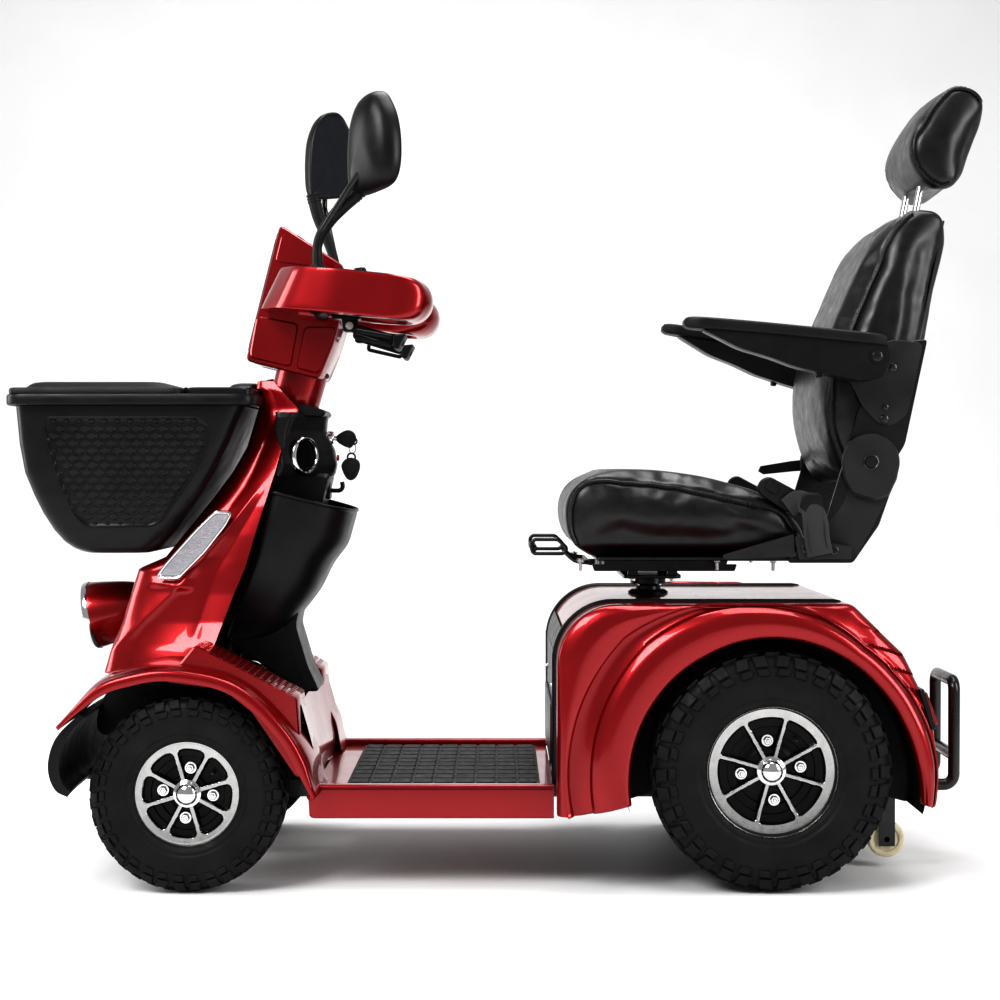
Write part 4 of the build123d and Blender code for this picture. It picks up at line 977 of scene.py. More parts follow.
def front_shroud():
    """The leaning front body, flared at its foot, creased from the turn signal down to the wing."""
    stations = [
        # z, nose x, back x, half width at the nose, half width at the back
        (862, -438, -406, 86, 88), (848, -441, -396, 92, 95), (844, -428, -392, 93, 97),
                (812, -437, -362, 97, 103), (745, -455, -389, 112, 124), (700, -480, -400, 124, 142),
        (640, -524, -418, 140, 157), (590, -564, -433, 148, 163), (552, -594, -444, 152, 165),
                (532, -641, -450, 154, 166),
        (490, -654, -468, 158, 170), (440, -668, -486, 162, 180), (400, -684, -500, 166, 196),
                (372, -693, -520, 168, 214),
        (350, -700, -540, 168, 226),
    ]
    levels = np.array([s[0] for s in stations][::-1], float)
    table = np.array([s[1:] for s in stations][::-1], float)
    rows = []
    for z in np.linspace(862, 350, 120):
        nose, back, w_nose, w_back = [np.interp(z, levels, table[:, i]) for i in range(4)]
        depth = back - nose
        corner = min(46.0, 0.5 * depth)
        half = [(back - 14, w_back - 16), (back - 3, w_back - 9), (back, w_back - 3)]
        for s in np.linspace(0, 1, 40):
            x = back + (nose + corner - back) * s
            width = w_back + (w_nose - w_back) * s ** 1.3
            half.append((x, width))
        for a in np.linspace(0.12, math.pi / 2, 12):
            half.append((nose + corner * (1 - math.sin(a)), w_nose - corner * 0.72 * (1 - math.cos(a))))
        flat = w_nose - corner * 0.72
        half += [(nose - 2.5 * (1 - t * t), t * flat) for t in (0.85, 0.65, 0.45, 0.25, 0.0)]
        shaped = []
        for x, width in half:
            if width > 0.6 * w_nose:
                gap, share = line_gap(CREASE, x, z)
                width += 7.5 * math.exp(-gap / 16.0) * float(smooth_step(0.02, 0.3, share))
                gap, share = line_gap(FACET, x, z)
                width -= 5.0 * math.exp(-gap / 20.0) * float(smooth_step(0.0, 0.3, share))
                ledge, _ = line_gap([(-612, 508), (-548, 502)], x, z)
                width += 4.0 * math.exp(-(ledge / 7.0) ** 2)
            shaped.append((x, width))
        rows.append([(x, -y, z) for x, y in shaped] + [(x, y, z) for x, y in shaped[-2::-1]])
    b = Build()
    b.grid(rows)
    lip = [(x, y, z) for x, y, z in rows[0]]
    top = [lip, [(x + (3 if x < -410 else -3), y * 0.93, z + 1.5) for x, y, z in lip],
           [(x + (8 if x < -410 else -6), y * 0.86, z - 4) for x, y, z in lip]]
    b.grid(top)
    shell = b.piece("front_body_shell", [RED], "chassis", ["front_shroud"], angle=38)
    modifier(shell, "SOLIDIFY", thickness=0.004, offset=-1.0)


WING_LIP = [(-317, 161), (-342, 205), (-370, 255), (-418, 308), (-464, 338), (-518, 351), (-568, 355),
            (-612, 348), (-660, 333), (-707, 300), (-735, 275)]
# Section of the front wing from the lip inwards: height above the lip line, and distance from the middle.
WING_SECTION = [(3, 322), (1, 334), (0, 338), (3, 340), (13, 340), (17.5, 338.5), (20, 334), (20.5, 329),
                (22.5, 325), (25, 316), (27, 302), (28.5, 280), (29, 252), (29, 220), (29, 190), (28, 168)]


def wing_line(count):
    """Points along the wing lip with the direction away from the wheel at each."""
    path = spline(WING_LIP, count)
    ahead = np.gradient(path, axis=0)
    outward = np.stack([ahead[:, 1], -ahead[:, 0]], axis=1)
    return path, outward / np.linalg.norm(outward, axis=1)[:, None]


def front_wings():
    """Wings over the front wheels with a rolled lip band, and the ribbed step behind each."""
    b = Build()
    for side in (LEFT, RIGHT):
        rows = []
        path, outward = wing_line(110)
        for i, (p, away) in enumerate(zip(path, outward)):
            share = i / 109
            taper = 1 - 0.55 * float(smooth_step(0.12, 0.0, share)) - 0.62 * float(smooth_step(0.78, 1.0,
                                                                                               share))
            rows.append([(p[0] + away[0] * lift * taper, side * width, p[1] + away[1] * lift * taper)
                         for lift, width in spline(WING_SECTION, 46)])
        b.grid(rows)
        end = rows[0]
        b.grid([end, [(x - 3, y * 0.995, z - 2) for x, y, z in end],
                [(x - 7, y * 0.985, z + 4) for x, y, z in end]])
    wing = b.piece("front_wings", [RED], "chassis", ["front_fenders"], angle=42)
    modifier(wing, "SOLIDIFY", thickness=0.0035, offset=-1.0)

    step = Build()
    outline = rounded([(-566, 352), (-516, 412), (-346, 324), (-337, 200), (-345, 190), (-420, 300),
                       (-470, 340)], 5)
    for side in (LEFT, RIGHT):
        low, high = sorted((side * 168, side * 301))
        step.prism(outline, low, high, 0, 3.0)
        fall = -0.517
        for rib in range(15):
            x = -508 + 10.5 * rib
            z = 412 + fall * (x + 516)
            for row in range(6):
                y = side * (186 + 19.0 * row + (5 if rib % 2 else 0))
                pad = rounded([(x, z - 0.5), (x + 6.5, z - 3.9), (x + 6.5, z - 2.0), (x, z + 1.4)], 0.8, 3)
                step.prism(pad, *sorted((y, y + side * 13)), 0, 0.6)
    step.piece("rear_wing_steps", [RED], "chassis", angle=35)

    dark = Build()
    for side in (LEFT, RIGHT):
        rows = []
        path, outward = wing_line(60)
        for i, (p, away) in enumerate(zip(path, outward)):
            share = 1 - 0.7 * float(smooth_step(0.8, 1.0, i / 59))
            rows.append([(p[0] + away[0] * lift * share, side * y, p[1] + away[1] * lift * share)
                         for lift, y in ((2, 334), (5, 300), (10, 250), (12, 205), (12, 168))])
        dark.grid(rows)
        well = spline([(-712, 246), (-672, 238), (-640, 254), (-600, 280), (-560, 296), (-500, 300),
                       (-468, 292), (-462, 340), (-560, 348), (-660, 340), (-706, 300)], 80, closed=True)
        dark.plate(well, side, 124, 129, 0, 1)
    dark.piece("front_wing_liners", [GRAINED], "chassis", angle=50)


def headlamp():
    """Red bowl with a rolled rim, a silver reflector and a ribbed clear lens."""
    face = np.array([-742.0, 0, 441])
    axis = np.array([-0.98, 0, -0.2])
    b = Build()
    bowl = [(34, -98), (42, -88), (50, -62), (56, -30), (59.5, -8), (60.5, 2), (60, 7), (57.5, 9), (55, 7),
            (54.5, 2), (54.5, -4)]
    b.revolve(spline(bowl, 60), face, axis, 96)
    b.piece("headlamp_bowl", [RED], "chassis", ["headlight_housing"])
    lens = Build()
    lens.revolve([(55, 7), (51, 12), (41, 17), (27, 20.4), (13, 22), (0, 22.4)], face, axis, 96, 0)
    lens.revolve([(54, 3.5), (53, -1), (40, -1), (0, -1)], face, axis, 96, 0)
    lens.revolve([(54.2, 2), (48, -8), (36, -24), (22, -36), (9, -42), (0, -43)], face, axis, 72, 1)
    lens.revolve([(9, -42), (9, -24), (6, -18), (0, -16)], face, axis, 32, 2)
    lens.revolve([(54.4, 5), (55, 10), (58, 12.6), (61, 11), (62.5, 6), (61.5, 1)], face, axis, 96, 2)
    for i in range(-4, 5):
        y = 11.0 * i
        reach = math.sqrt(max(48 ** 2 - y * y, 0))
        up = unit(np.cross(axis, (0, 1, 0)))
        path = [face + axis * (21.4 - 0.0046 * (y * y + t * t)) + np.array([0, y, 0]) + up * t
                for t in np.linspace(-reach, reach, 12)]
        lens.tube(path, 0.9, 6, 0)
    lens.piece("headlamp_lens", [CLEAR, REFLECTOR, CHROME], "chassis", ["headlight_lens"])


def turn_signals():
    """Slanted clear lamps with a silver reflector, moulded ribs and a raised frame."""
    lamps = Build()
    for side in (LEFT, RIGHT):
        outline = rounded([(-500, 631), (-473, 630), (-484, 609), (-520, 563), (-565, 518), (-600, 520),
                           (-586, 540), (-534, 598)], 6)
        middle = outline.mean(axis=0)
        base = side * 158
        lamps.prism(middle + (outline - middle) * 0.97, *sorted((base, side * 166.5)), 1, 1)
        lamps.plate(outline, side, 167.5, 174, 0, 1.6)
        ring = np.array([(x, side * 172.5, z) for x, z in middle + (outline - middle) * 1.03])
        lamps.tube(resample(ring, 90, closed=True), 2.4, 8, 2, closed=True)
        for i in range(15):
            t = (i + 0.7) / 15.5
            x = -488 - 94 * t
            z = 624 - 100 * t
            wide = 9 + 6 * math.sin(math.pi * t)
            lamps.tube([(x - wide * 0.8, side * 173.6, z + 3), (x + wide * 0.6, side * 174.2, z - 1)], 1.2,
                       6, 0)
        for i in range(3):
            x, z = -507 - 27 * i, 602 - 30 * i
            lamps.revolve([(0, 0), (6, 1), (8, 4), (8, 5)], (x, side * 161, z), (0, side, 0), 24, 3)
    lamps.piece("turn_signal_lamps", [CLEAR, REFLECTOR, CHROME, CHROME], "chassis",
                ["turn_signals"])


def front_valance():
    """Black under-panel with moulded ribs, on its two brackets."""
    b = Build()
    outer = spline([(-732, 163), (-750, 172), (-761, 192), (-764, 218), (-757, 248), (-742, 272),
                    (-712, 300)], 40)
    inner = spline([(-704, 294), (-728, 268), (-741, 244), (-746, 218), (-744, 196), (-737, 180),
                    (-726, 172)], 40)
    section = np.vstack([outer, inner])
    rows = []
    for y in np.linspace(-328, 328, 66):
        back = 9 * (abs(y) / 328) ** 3
        rows.append([(x + back, y, z) for x, z in section])
    b.grid(rows, wrap_columns=True, caps=True)
    for y in range(-240, 241, 40):
        b.tube([(-763.6, y, 205), (-763, y, 226), (-757, y, 247)], 2.0, 8)
    for side in (LEFT, RIGHT):
        b.plate(rounded([(-745, 158.5), (-640, 158.5), (-640, 172), (-740, 176)], 3), side, 88, 112, 1, 1)
        b.bolt((-655, side * 100, 172), (0, 0, 1), 6, 4, 2)
    b.piece("front_under_panel", [GRAINED, PAINT, STEEL], "chassis", ["front_bumper"],
            angle=38)


def floor_details():
    """Red floor tray with rounded sills, a bulkhead, and kick strips."""
    b = Build()
    for side in (LEFT, RIGHT):
        section = rounded([(266, 120), (290, 120), (290, 177), (266, 177)], 6)
        rows = []
        ends = [(-326, 0.86), (-322, 0.97), (-316, 1.0)] + [(x, 1.0) for x in (-200, -60, 60)] + [(80, 1.0),
                                                                                                  (84,
                                                                                                   0.98)]
        centre = np.array([278, 148.5])
        for x, size in ends:
            rows.append([(x - (0.05 * (z - 119) if x < -300 else 0),
                          side * (centre[0] + (y - centre[0]) * size),
                          centre[1] + (z - centre[1]) * size) for y, z in section])
        b.grid(rows, wrap_columns=True, caps=True)
        b.tube([(-312, side * 290.4, 170), (82, side * 290.4, 170)], 0.9, 6, 1)
    b.prism([(-322, 159.5), (84, 159.5), (84, 165), (-322, 165)], -268, 268)
    wall = spline([(-320, 160), (-318, 199), (-330, 252), (-345, 306)], 24)
    rows = []
    for x, z in wall:
        rows.append([(x - 6 + 8 * (y / 250) ** 2, y, z) for y in np.linspace(-250, 250, 40)])
    b.grid(rows)
    b.grid([[(x - 5, y, z) for x, y, z in row] for row in rows])
    b.grid([rows[-1], [(x - 5, y, z) for x, y, z in rows[-1]]])
    b.piece("floor_pan_skin", [RED, SEAL], "chassis", ["floor_tray"], angle=35)


rear_body()
front_shroud()
front_wings()
headlamp()
turn_signals()
front_valance()
floor_details()


# ---- Basket, console and bin ----------------------------------------------------------------
BASKET_LEVELS = np.array([
    # z, front x, back x, half width, corner radius
    (560, -728, -622, 150, 30), (562, -738, -612, 157, 34), (568, -752, -602, 163, 36),
                          (580, -768, -590, 168, 36),
    (600, -784, -572, 175, 34), (630, -801, -549, 183, 32), (660, -814, -527, 189, 30),
                          (700, -829, -502, 194, 28),
    (750, -837, -477, 199, 28), (790, -840, -460, 202, 28), (817, -842, -448, 204, 28),
], float)
PANEL = [(-784, 795), (-520, 795), (-505, 782), (-508, 755), (-527, 710), (-589, 618), (-606, 608),
         (-722, 606), (-742, 624), (-766, 684), (-781, 735), (-789, 778)]


CELL_PITCH = 22.0
CELL_ROW = 12.6


def plan_ring(x_low, x_high, half_y, corner, count):
    """Points evenly round a rectangle with rounded corners, seen from above."""
    box = rounded([(x_low, -half_y), (x_high, -half_y), (x_high, half_y), (x_low, half_y)], corner, 12)
    return resample(box, count, closed=True)


def inside_gap(outline, x, z):
    """Distance from a point to a closed outline, positive inside it."""
    gap, _ = line_gap(np.vstack([outline, outline[:1]]), x, z)
    crossings = 0
    for a, b in zip(outline, np.roll(outline, -1, axis=0)):
        if (a[1] > z) != (b[1] > z) and x < a[0] + (z - a[1]) * (b[0] - a[0]) / (b[1] - a[1]):
            crossings += 1
    return gap if crossings % 2 else -gap


def basket():
    """Tapered basket with embossed panels, a thick rim, a fixed rear cover and a hinged lid."""
    panel = rounded(PANEL, 14)
    rows = []
    for z in np.concatenate([np.linspace(560, 600, 18), np.linspace(603, 817, 76)]):
        x_low, x_high, half_y, corner = [np.interp(z, BASKET_LEVELS[:, 0],
                                                   BASKET_LEVELS[:, i]) for i in range(1, 5)]
        row = []
        for x, y in plan_ring(x_low, x_high, half_y, corner, 380):
            if abs(y) > half_y - 4:
                y -= math.copysign(3.6 * float(smooth_step(0, 5, inside_gap(panel, x, z))), y)
            row.append((x, y, z))
        rows.append(row)
    b = Build()
    b.grid(rows, wrap_columns=True)
    b.add(rows[0], [tuple(range(380))])
    x_low, x_high, half_y, corner = -856, -425, 220, 36
    bands = [(817, 10.0), (815.4, 3.0), (817, 0.8), (820, 0.0), (831, 0.0), (834, 1.2), (835.5, 4.0),
             (835.5, 24.0), (826, 26.0), (812, 27.0)]
    b.grid([[(x, y, z) for x, y in plan_ring(x_low + cut, x_high - cut, half_y - cut, corner, 300)]
            for z, cut in bands], wrap_columns=True)
    floor = [(x, y, 566) for x, y in plan_ring(-724, -606, 154, 34, 120)]
    b.add(floor, [tuple(range(120))])
    for side in (LEFT, RIGHT):
        edge = []
        for x, z in resample(panel, 160, closed=True):
            half = np.interp(z, BASKET_LEVELS[:, 0], BASKET_LEVELS[:, 3])
            edge.append((x, side * (half + 0.2), z))
        b.tube(edge, 1.3, 8, closed=True)
        for row in range(15):
            for column in range(-1, 14):
                x = -796 + CELL_PITCH * (column + (0.5 if row % 2 else 0))
                z = 788 - CELL_ROW * row
                gap = inside_gap(panel, x, z)
                if gap < 3.0:
                    continue
                size = 0.93 * min(1.0, (gap - 1.0) / 10.0)
                ring = [(x + size * 10.0 * u, z + size * 7.6 * v) for u, v in
                        ((-0.98, 0.36), (-0.98, -0.36), (0, -1), (0.98, -0.36), (0.98, 0.36), (0, 1))]
                half = np.interp(z, BASKET_LEVELS[:, 0], BASKET_LEVELS[:, 3]) - 3.6
                lift = [(1.0, -0.6), (0.97, 1.1), (0.80, 2.2)]
                rings = [[(x + (px - x) * s, side * (half + 0.25 * (pz - z) * 0.3 + h), z + (pz - z) * s)
                          for px, pz in ring] for s, h in lift]
                # The cells take the lighter finish in slot 1: a painted highlight against the darker shell
                # that shows in the grooves.
                b.grid(rings, 1, wrap_columns=True, caps=True)
    cover = [(plan_ring(-543, -432, 214, 16, 160), z, cut) for z,
             cut in ((834, 0), (843, 0), (845.5, 2), (846.5, 6))]
    rows = [[((x + 487.5) * (1 - cut / 55) - 487.5, y * (1 - cut / 214), z) for x, y in ring] for ring, z,
            cut in cover]
    b.grid(rows, wrap_columns=True, caps=True)
    hump = [(846, 1.0, 84), (852, 0.94, 80), (857, 0.80, 70), (860, 0.55, 52), (861, 0.2, 20)]
    b.grid([[(-462 + x * size, y, z) for x, y in plan_ring(-30, 30, half_y, 20, 90)] for z, size,
            half_y in hump],
           wrap_columns=True, caps=True)
    body = b.piece("basket_shell", [PLASTIC, CELL_PAINTED_HIGHLIGHT], "chassis", ["basket_body"], angle=32)
    modifier(body, "SOLIDIFY", thickness=0.0025, offset=-1.0)

    lid = Build()
    steps = [(835.8, 0), (842, 0), (845, 1.5), (846, 5), (846.2, 20), (848, 24), (852, 28), (855.5, 34),
             (857, 42), (857.4, 70)]
    rows = []
    for z, cut in steps:
        rows.append([(x, y, z) for x, y in plan_ring(-849 + cut, -551.5 - cut * 1.1, 213.5 - cut,
                                                     14 + cut * 0.3, 200)])
    lid.grid(rows, wrap_columns=True, caps=True)
    for y in (-150, 150):
        lid.tube([(-549.5, y - 26, 843.5), (-549.5, y + 26, 843.5)], 4.0, 16)
    lid.prism(rounded([(-853, 826), (-849, 826), (-846, 850), (-853, 848)], 1.5), -32, 32, 0, 1.5)
    lid.piece("basket_lid_shell", [GRAINED], "lid", ["basket_lid"], angle=35)


def sounder(side):
    """Middle of the sounder grille on one slanted face of the console, and the direction it faces."""
    axis = unit([0.816, side * 0.577, 0])
    return np.array([-355.5, side * 90, 730]) + axis * 1.5, axis


def console():
    """Control cover with a sounder grille on each side, the column cover below it, the key and its fob."""
    b = Build()
    levels = [(694, -399, -309), (700, -399, -306), (715, -394, -303), (740, -386, -307), (760, -380, -316),
              (775, -376, -322), (790, -371, -321), (800, -365, -319), (806, -361, -321)]
    rows = []
    for z in np.linspace(694, 806, 40):
        front = np.interp(z, [r[0] for r in levels], [r[1] for r in levels])
        back = np.interp(z, [r[0] for r in levels], [r[2] for r in levels])
        shrink = 1 - 0.03 * float(smooth_step(797, 806, z)) - 0.02 * float(smooth_step(702, 694, z))
        wide = 138 * shrink
        plan = [(front, -wide), (back - 84, -wide), (back - 12, -36), (back, -20), (back, 20),
                (back - 12, 36), (back - 84, wide), (front, wide)]
        rows.append([(x, y, z) for x, y in resample(rounded(plan, 12, 8), 200, closed=True)])
    b.grid(rows, wrap_columns=True, caps=True)
    hood = rounded([(-372, 800), (-322, 800), (-318, 806), (-322, 812), (-352, 822), (-372, 822)], 5)
    b.prism(hood, -70, 70, 0, 5)
    column = rounded([(-403, 705), (-311, 698), (-330, 620), (-372, 424), (-350, 350), (-330, 307),
                      (-360, 307), (-470, 380), (-494, 402), (-471, 468), (-438, 551), (-422, 607)], 10)
    b.prism(column, -60, 60, 0, 7)
    groove = spline([(-330, 640), (-352, 540), (-378, 430), (-366, 370), (-338, 312)], 50)
    for side in (LEFT, RIGHT):
        b.tube([(x - 9, side * 60.3, z) for x, z in groove], 1.2, 6)
    b.revolve([(13, -4), (13, 4), (11.5, 6), (8.5, 6.5), (8.2, 4.5), (0, 4.5)], (-315, 0, 762), (1, 0, 0),
              40, 1)
    b.tube(spline([(-322, 0, 668), (-306, 0, 667), (-297, 0, 668), (-293, 0, 674), (-294, 0, 683)], 24),
           4.0, 14, 0)
    b.prism(rounded([(-20, 652), (20, 652), (16, 684), (-16, 684)], 5), -322, -314, 0, 2, axis="x")
    for side in (LEFT, RIGHT):
        centre, axis = sounder(side)
        b.revolve([(27.5, 3.5), (26, 0.5), (0, 0.5)], centre, axis, 48, 2)
        across = unit(np.cross(axis, (0, 0, 1)))
        for i in range(-5, 6):
            reach = math.sqrt(26.5 ** 2 - (4.6 * i) ** 2)
            b.tube([centre + axis * 2.2 + across * (4.6 * i) + np.array([0, 0, t]) for t in (-reach,
                                                                                             reach)],
                   1.1, 8, 2)
    b.revolve([(5.5, 0), (5.5, 3), (4, 4.2), (0, 4.5)], (-306, 34, 727), (1, 0, 0), 24, 3)
    b.piece("console_shell", [PLASTIC, CHROME, WINDOW, AMBER], "chassis",
            ["console_cover"], angle=35)

    ring = Build()
    for side in (LEFT, RIGHT):
        centre, axis = sounder(side)
        ring.revolve([(27, 0), (27, 4.5), (28.5, 6.8), (31, 7.4), (33, 6.2), (34.5, 3), (34.5, 0)], centre,
                     axis, 80)
    ring.piece("sounder_rings", [CHROME], "chassis", ["speaker_ring"])

    key = Build()
    key.revolve([(0, 0), (4.2, 0), (4.2, 6), (2.6, 7), (2.6, 12), (0, 12)], (-310, 0, 762), (1, 0, 0), 24,
                0)
    bow = spline([(-304, 758), (-296, 751), (-286, 746), (-278, 745), (-272, 752), (-268, 762), (-272, 772),
                  (-280, 777), (-291, 775), (-304, 766)], 60, closed=True)
    key.prism(bow, -4.5, 4.5, 1, 1.5)
    key.prism(0.62 * (bow - bow.mean(axis=0)) + bow.mean(axis=0), -5.4, 5.4, 1, 0.8)
    key.tube([(-273 + 6 * math.cos(a), 0, 757 + 6 * math.sin(a)) for a in np.linspace(0, 2 * math.pi, 24,
                                                                                   endpoint=False)], 1.6, 8,
             1, closed=True)
    key.piece("ignition_key_bow", [CHROME, PLASTIC], "key", ["ignition_key"])
    fob = Build()
    turns = np.linspace(0, 2 * math.pi, 40, endpoint=False)
    fob.tube([(-275 + 6 * math.sin(a), 0, 744 + 9 * math.cos(a)) for a in turns], 0.9, 8, 1, closed=True)
    shield = spline([(-290, 722), (-295, 712), (-291, 698), (-284, 688), (-276, 686), (-268, 692),
                     (-262, 706), (-262, 718), (-269, 725), (-280, 727)], 60, closed=True)
    fob.prism(shield, -5, 5, 0, 1.8)
    fob.prism(0.6 * (shield - shield.mean(axis=0)) + shield.mean(axis=0), -6, 6, 0, 1)
    fob.tube([(-277 + 7 * math.sin(a), 0, 728 + 7 * math.cos(a)) for a in turns], 1.8, 8, 0, closed=True)
    fob.piece("key_fob_tag", [GRAINED, CHROME], "fob", ["key_fob"])


def storage_bin():
    """Round-bellied open bin behind the column."""
    back = spline([(-446, 402), (-420, 405), (-384, 425), (-361, 452), (-334, 488), (-311, 533),
                   (-286, 568), (-276, 598), (-268, 628)], 60)
    front = spline([(-492, 406), (-482, 438), (-471, 468), (-438, 551), (-422, 607), (-403, 662)], 60)
    rows = []
    for i in range(60):
        t = i / 59
        width = 145 * (1 - 0.40 * (1 - t) ** 2.4)
        row = []
        for a in np.linspace(0, math.pi, 72):
            s = math.sin(a) ** 0.72
            flat = math.copysign(abs(math.cos(a)) ** 0.62, math.cos(a))
            x = front[i][0] + (back[i][0] - front[i][0]) * s
            z = front[i][1] + (back[i][1] - front[i][1]) * s
            row.append((x, -width * flat, z))
        rows.append(row)
    b = Build()
    b.grid(rows)
    b.grid([rows[0], [(-450, y * 0.5, 403) for x, y, z in rows[0]], [(-458, 0, 403)] * 72])
    top = rows[-1]
    b.grid([top] + [[(x + grow * 0.6, y * (1 + grow / 145), z + rise) for x, y, z in top]
                    for grow, rise in ((2.5, 0.5), (4, 3), (3, 5.5), (0, 6), (-2.5, 4))])
    obj = b.piece("storage_bin_shell", [PLASTIC], "chassis", ["storage_bin"], angle=60)
    modifier(obj, "SOLIDIFY", thickness=0.0035, offset=-1.0)


# ---- Tiller ---------------------------------------------------------------------------------
STEER_LEAN = math.radians(15)
STEER_AXIS = np.array([math.sin(STEER_LEAN), 0, math.cos(STEER_LEAN)])
STEER_POINT = np.array([-372.0, 0, 859])


def tiller():
    """Head with panels on its cheeks, the collar on the steering axis below it, and the instrument panel."""
    b = Build()
    outline = np.array([(-396, 1133), (-455, 898), (-326, 866), (-301, 926), (-290, 966), (-286, 1058)],
                       float)
    b.prism(rounded(outline, 9), -86, 86, 0, 2)
    cheek = np.array([(-396, 1139), (-457, 898), (-326, 865), (-301, 926), (-290, 966), (-282, 1066)],
                     float)
    for side in (LEFT, RIGHT):
        b.plate(rounded(cheek, 11), side, 84, 94, 0, 3.5)
        low, high = sorted((side * 92, side * 98))
        b.prism(rounded([(-437, 978), (-449, 912), (-447, 903), (-383, 888), (-376, 890), (-364, 956),
                         (-366, 964)], 9),
                low, high, 0, 3)
        b.prism(rounded([(-352, 958), (-368, 884), (-328, 874), (-304, 932), (-296, 958)], 8), low, high, 0,
                3)
        b.prism(rounded([(-392, 1122), (-404, 1074), (-305, 1060), (-300, 1066)], 7), low, high - 0.5, 0, 2)
    ahead = unit([60, 0, 241])
    for low_y, high_y, lift in ((-84, 84, 2.0), (-70, 70, 4.5)):
        ends = [np.array([-456, 0, 902]) + ahead * (8 + lift * 4),
                np.array([-396, 0, 1140]) - ahead * (8 + lift * 4)]
        front = [[p + np.array([-lift * u, y * v, 0]) for y in np.linspace(low_y, high_y, 20)]
                 for p in ends for u, v in ((0, 1.0), (1, 0.98))]
        b.grid([front[0], front[1], front[3], front[2]])
    b.piece("tiller_shell", [RED, SEAL], "tiller", ["tiller_head"], angle=35)

    collar = Build()
    foot = STEER_POINT + STEER_AXIS * -46
    collar.revolve([(39, 0), (43, 1.5), (45, 5), (46, 30), (46.5, 60), (46.5, 74), (40, 78), (30, 78)],
                   foot, STEER_AXIS, 96)
    collar.revolve([(38, -9), (42, -8), (43, -4), (41, 0), (36, 1)], foot, STEER_AXIS, 64, 1)
    collar.revolve([(46.6, 70), (48.5, 71), (49, 75), (48, 78), (44, 80)], foot, STEER_AXIS, 96, 1)
    for i in range(9):
        collar.revolve([(30, -14 - 6 * i), (35, -16 - 6 * i), (30, -20 - 6 * i)], foot, STEER_AXIS, 48, 1)
    collar.piece("steering_collar", [RED, SEAL], "tiller")

    panel = Build()
    slope = np.array([(-394, 1133), (-288, 1062), (-286, 1066), (-391, 1137)], float)
    panel.prism(rounded(slope, 1.5), -82, 82, 0, 1)
    along = unit([106, 0, -71])
    normal = np.array([-along[2], 0, along[0]])
    centre = np.array([-338.5, 0, 1101.0])

    def spot(u, v, lift):
        return centre + along * u + np.array([0, v, 0]) + normal * lift
    screen = [[spot(u, v, lift) for u, v in rounded([(-38, -32), (4, -32), (4, 32), (-38, 32)], 6)]
              for lift in (0, 1.4, 1.8)]
    panel.grid(screen, 1, wrap_columns=True, caps=True)
    for v in (-58, 58):
        for u in (-30, -4, 22):
            panel.revolve([(9, 0), (9, 1.6), (7.5, 2.6), (0, 3)], spot(u, v, 0), normal, 28, 2)
    for v in (-22, 0, 22):
        panel.revolve([(7, 0), (7, 1.6), (5.5, 2.6), (0, 2.8)], spot(24, v, 0), normal, 28,
                      3 if v == 0 else 2)
    panel.piece("instrument_face", [PLASTIC, WINDOW, GRAINED, AMBER], "tiller",
                ["instrument_panel"])


GUARD_TURN = math.radians(6)
GUARD_ORIGIN = np.array([-258.0, 0, 1004])
GUARD_X = np.array([math.cos(GUARD_TURN), 0, -math.sin(GUARD_TURN)])
GUARD_Z = np.array([math.sin(GUARD_TURN), 0, math.cos(GUARD_TURN)])


def guard_at(x, y, z):
    return GUARD_ORIGIN + GUARD_X * x + np.array([0, y, 0]) + GUARD_Z * z


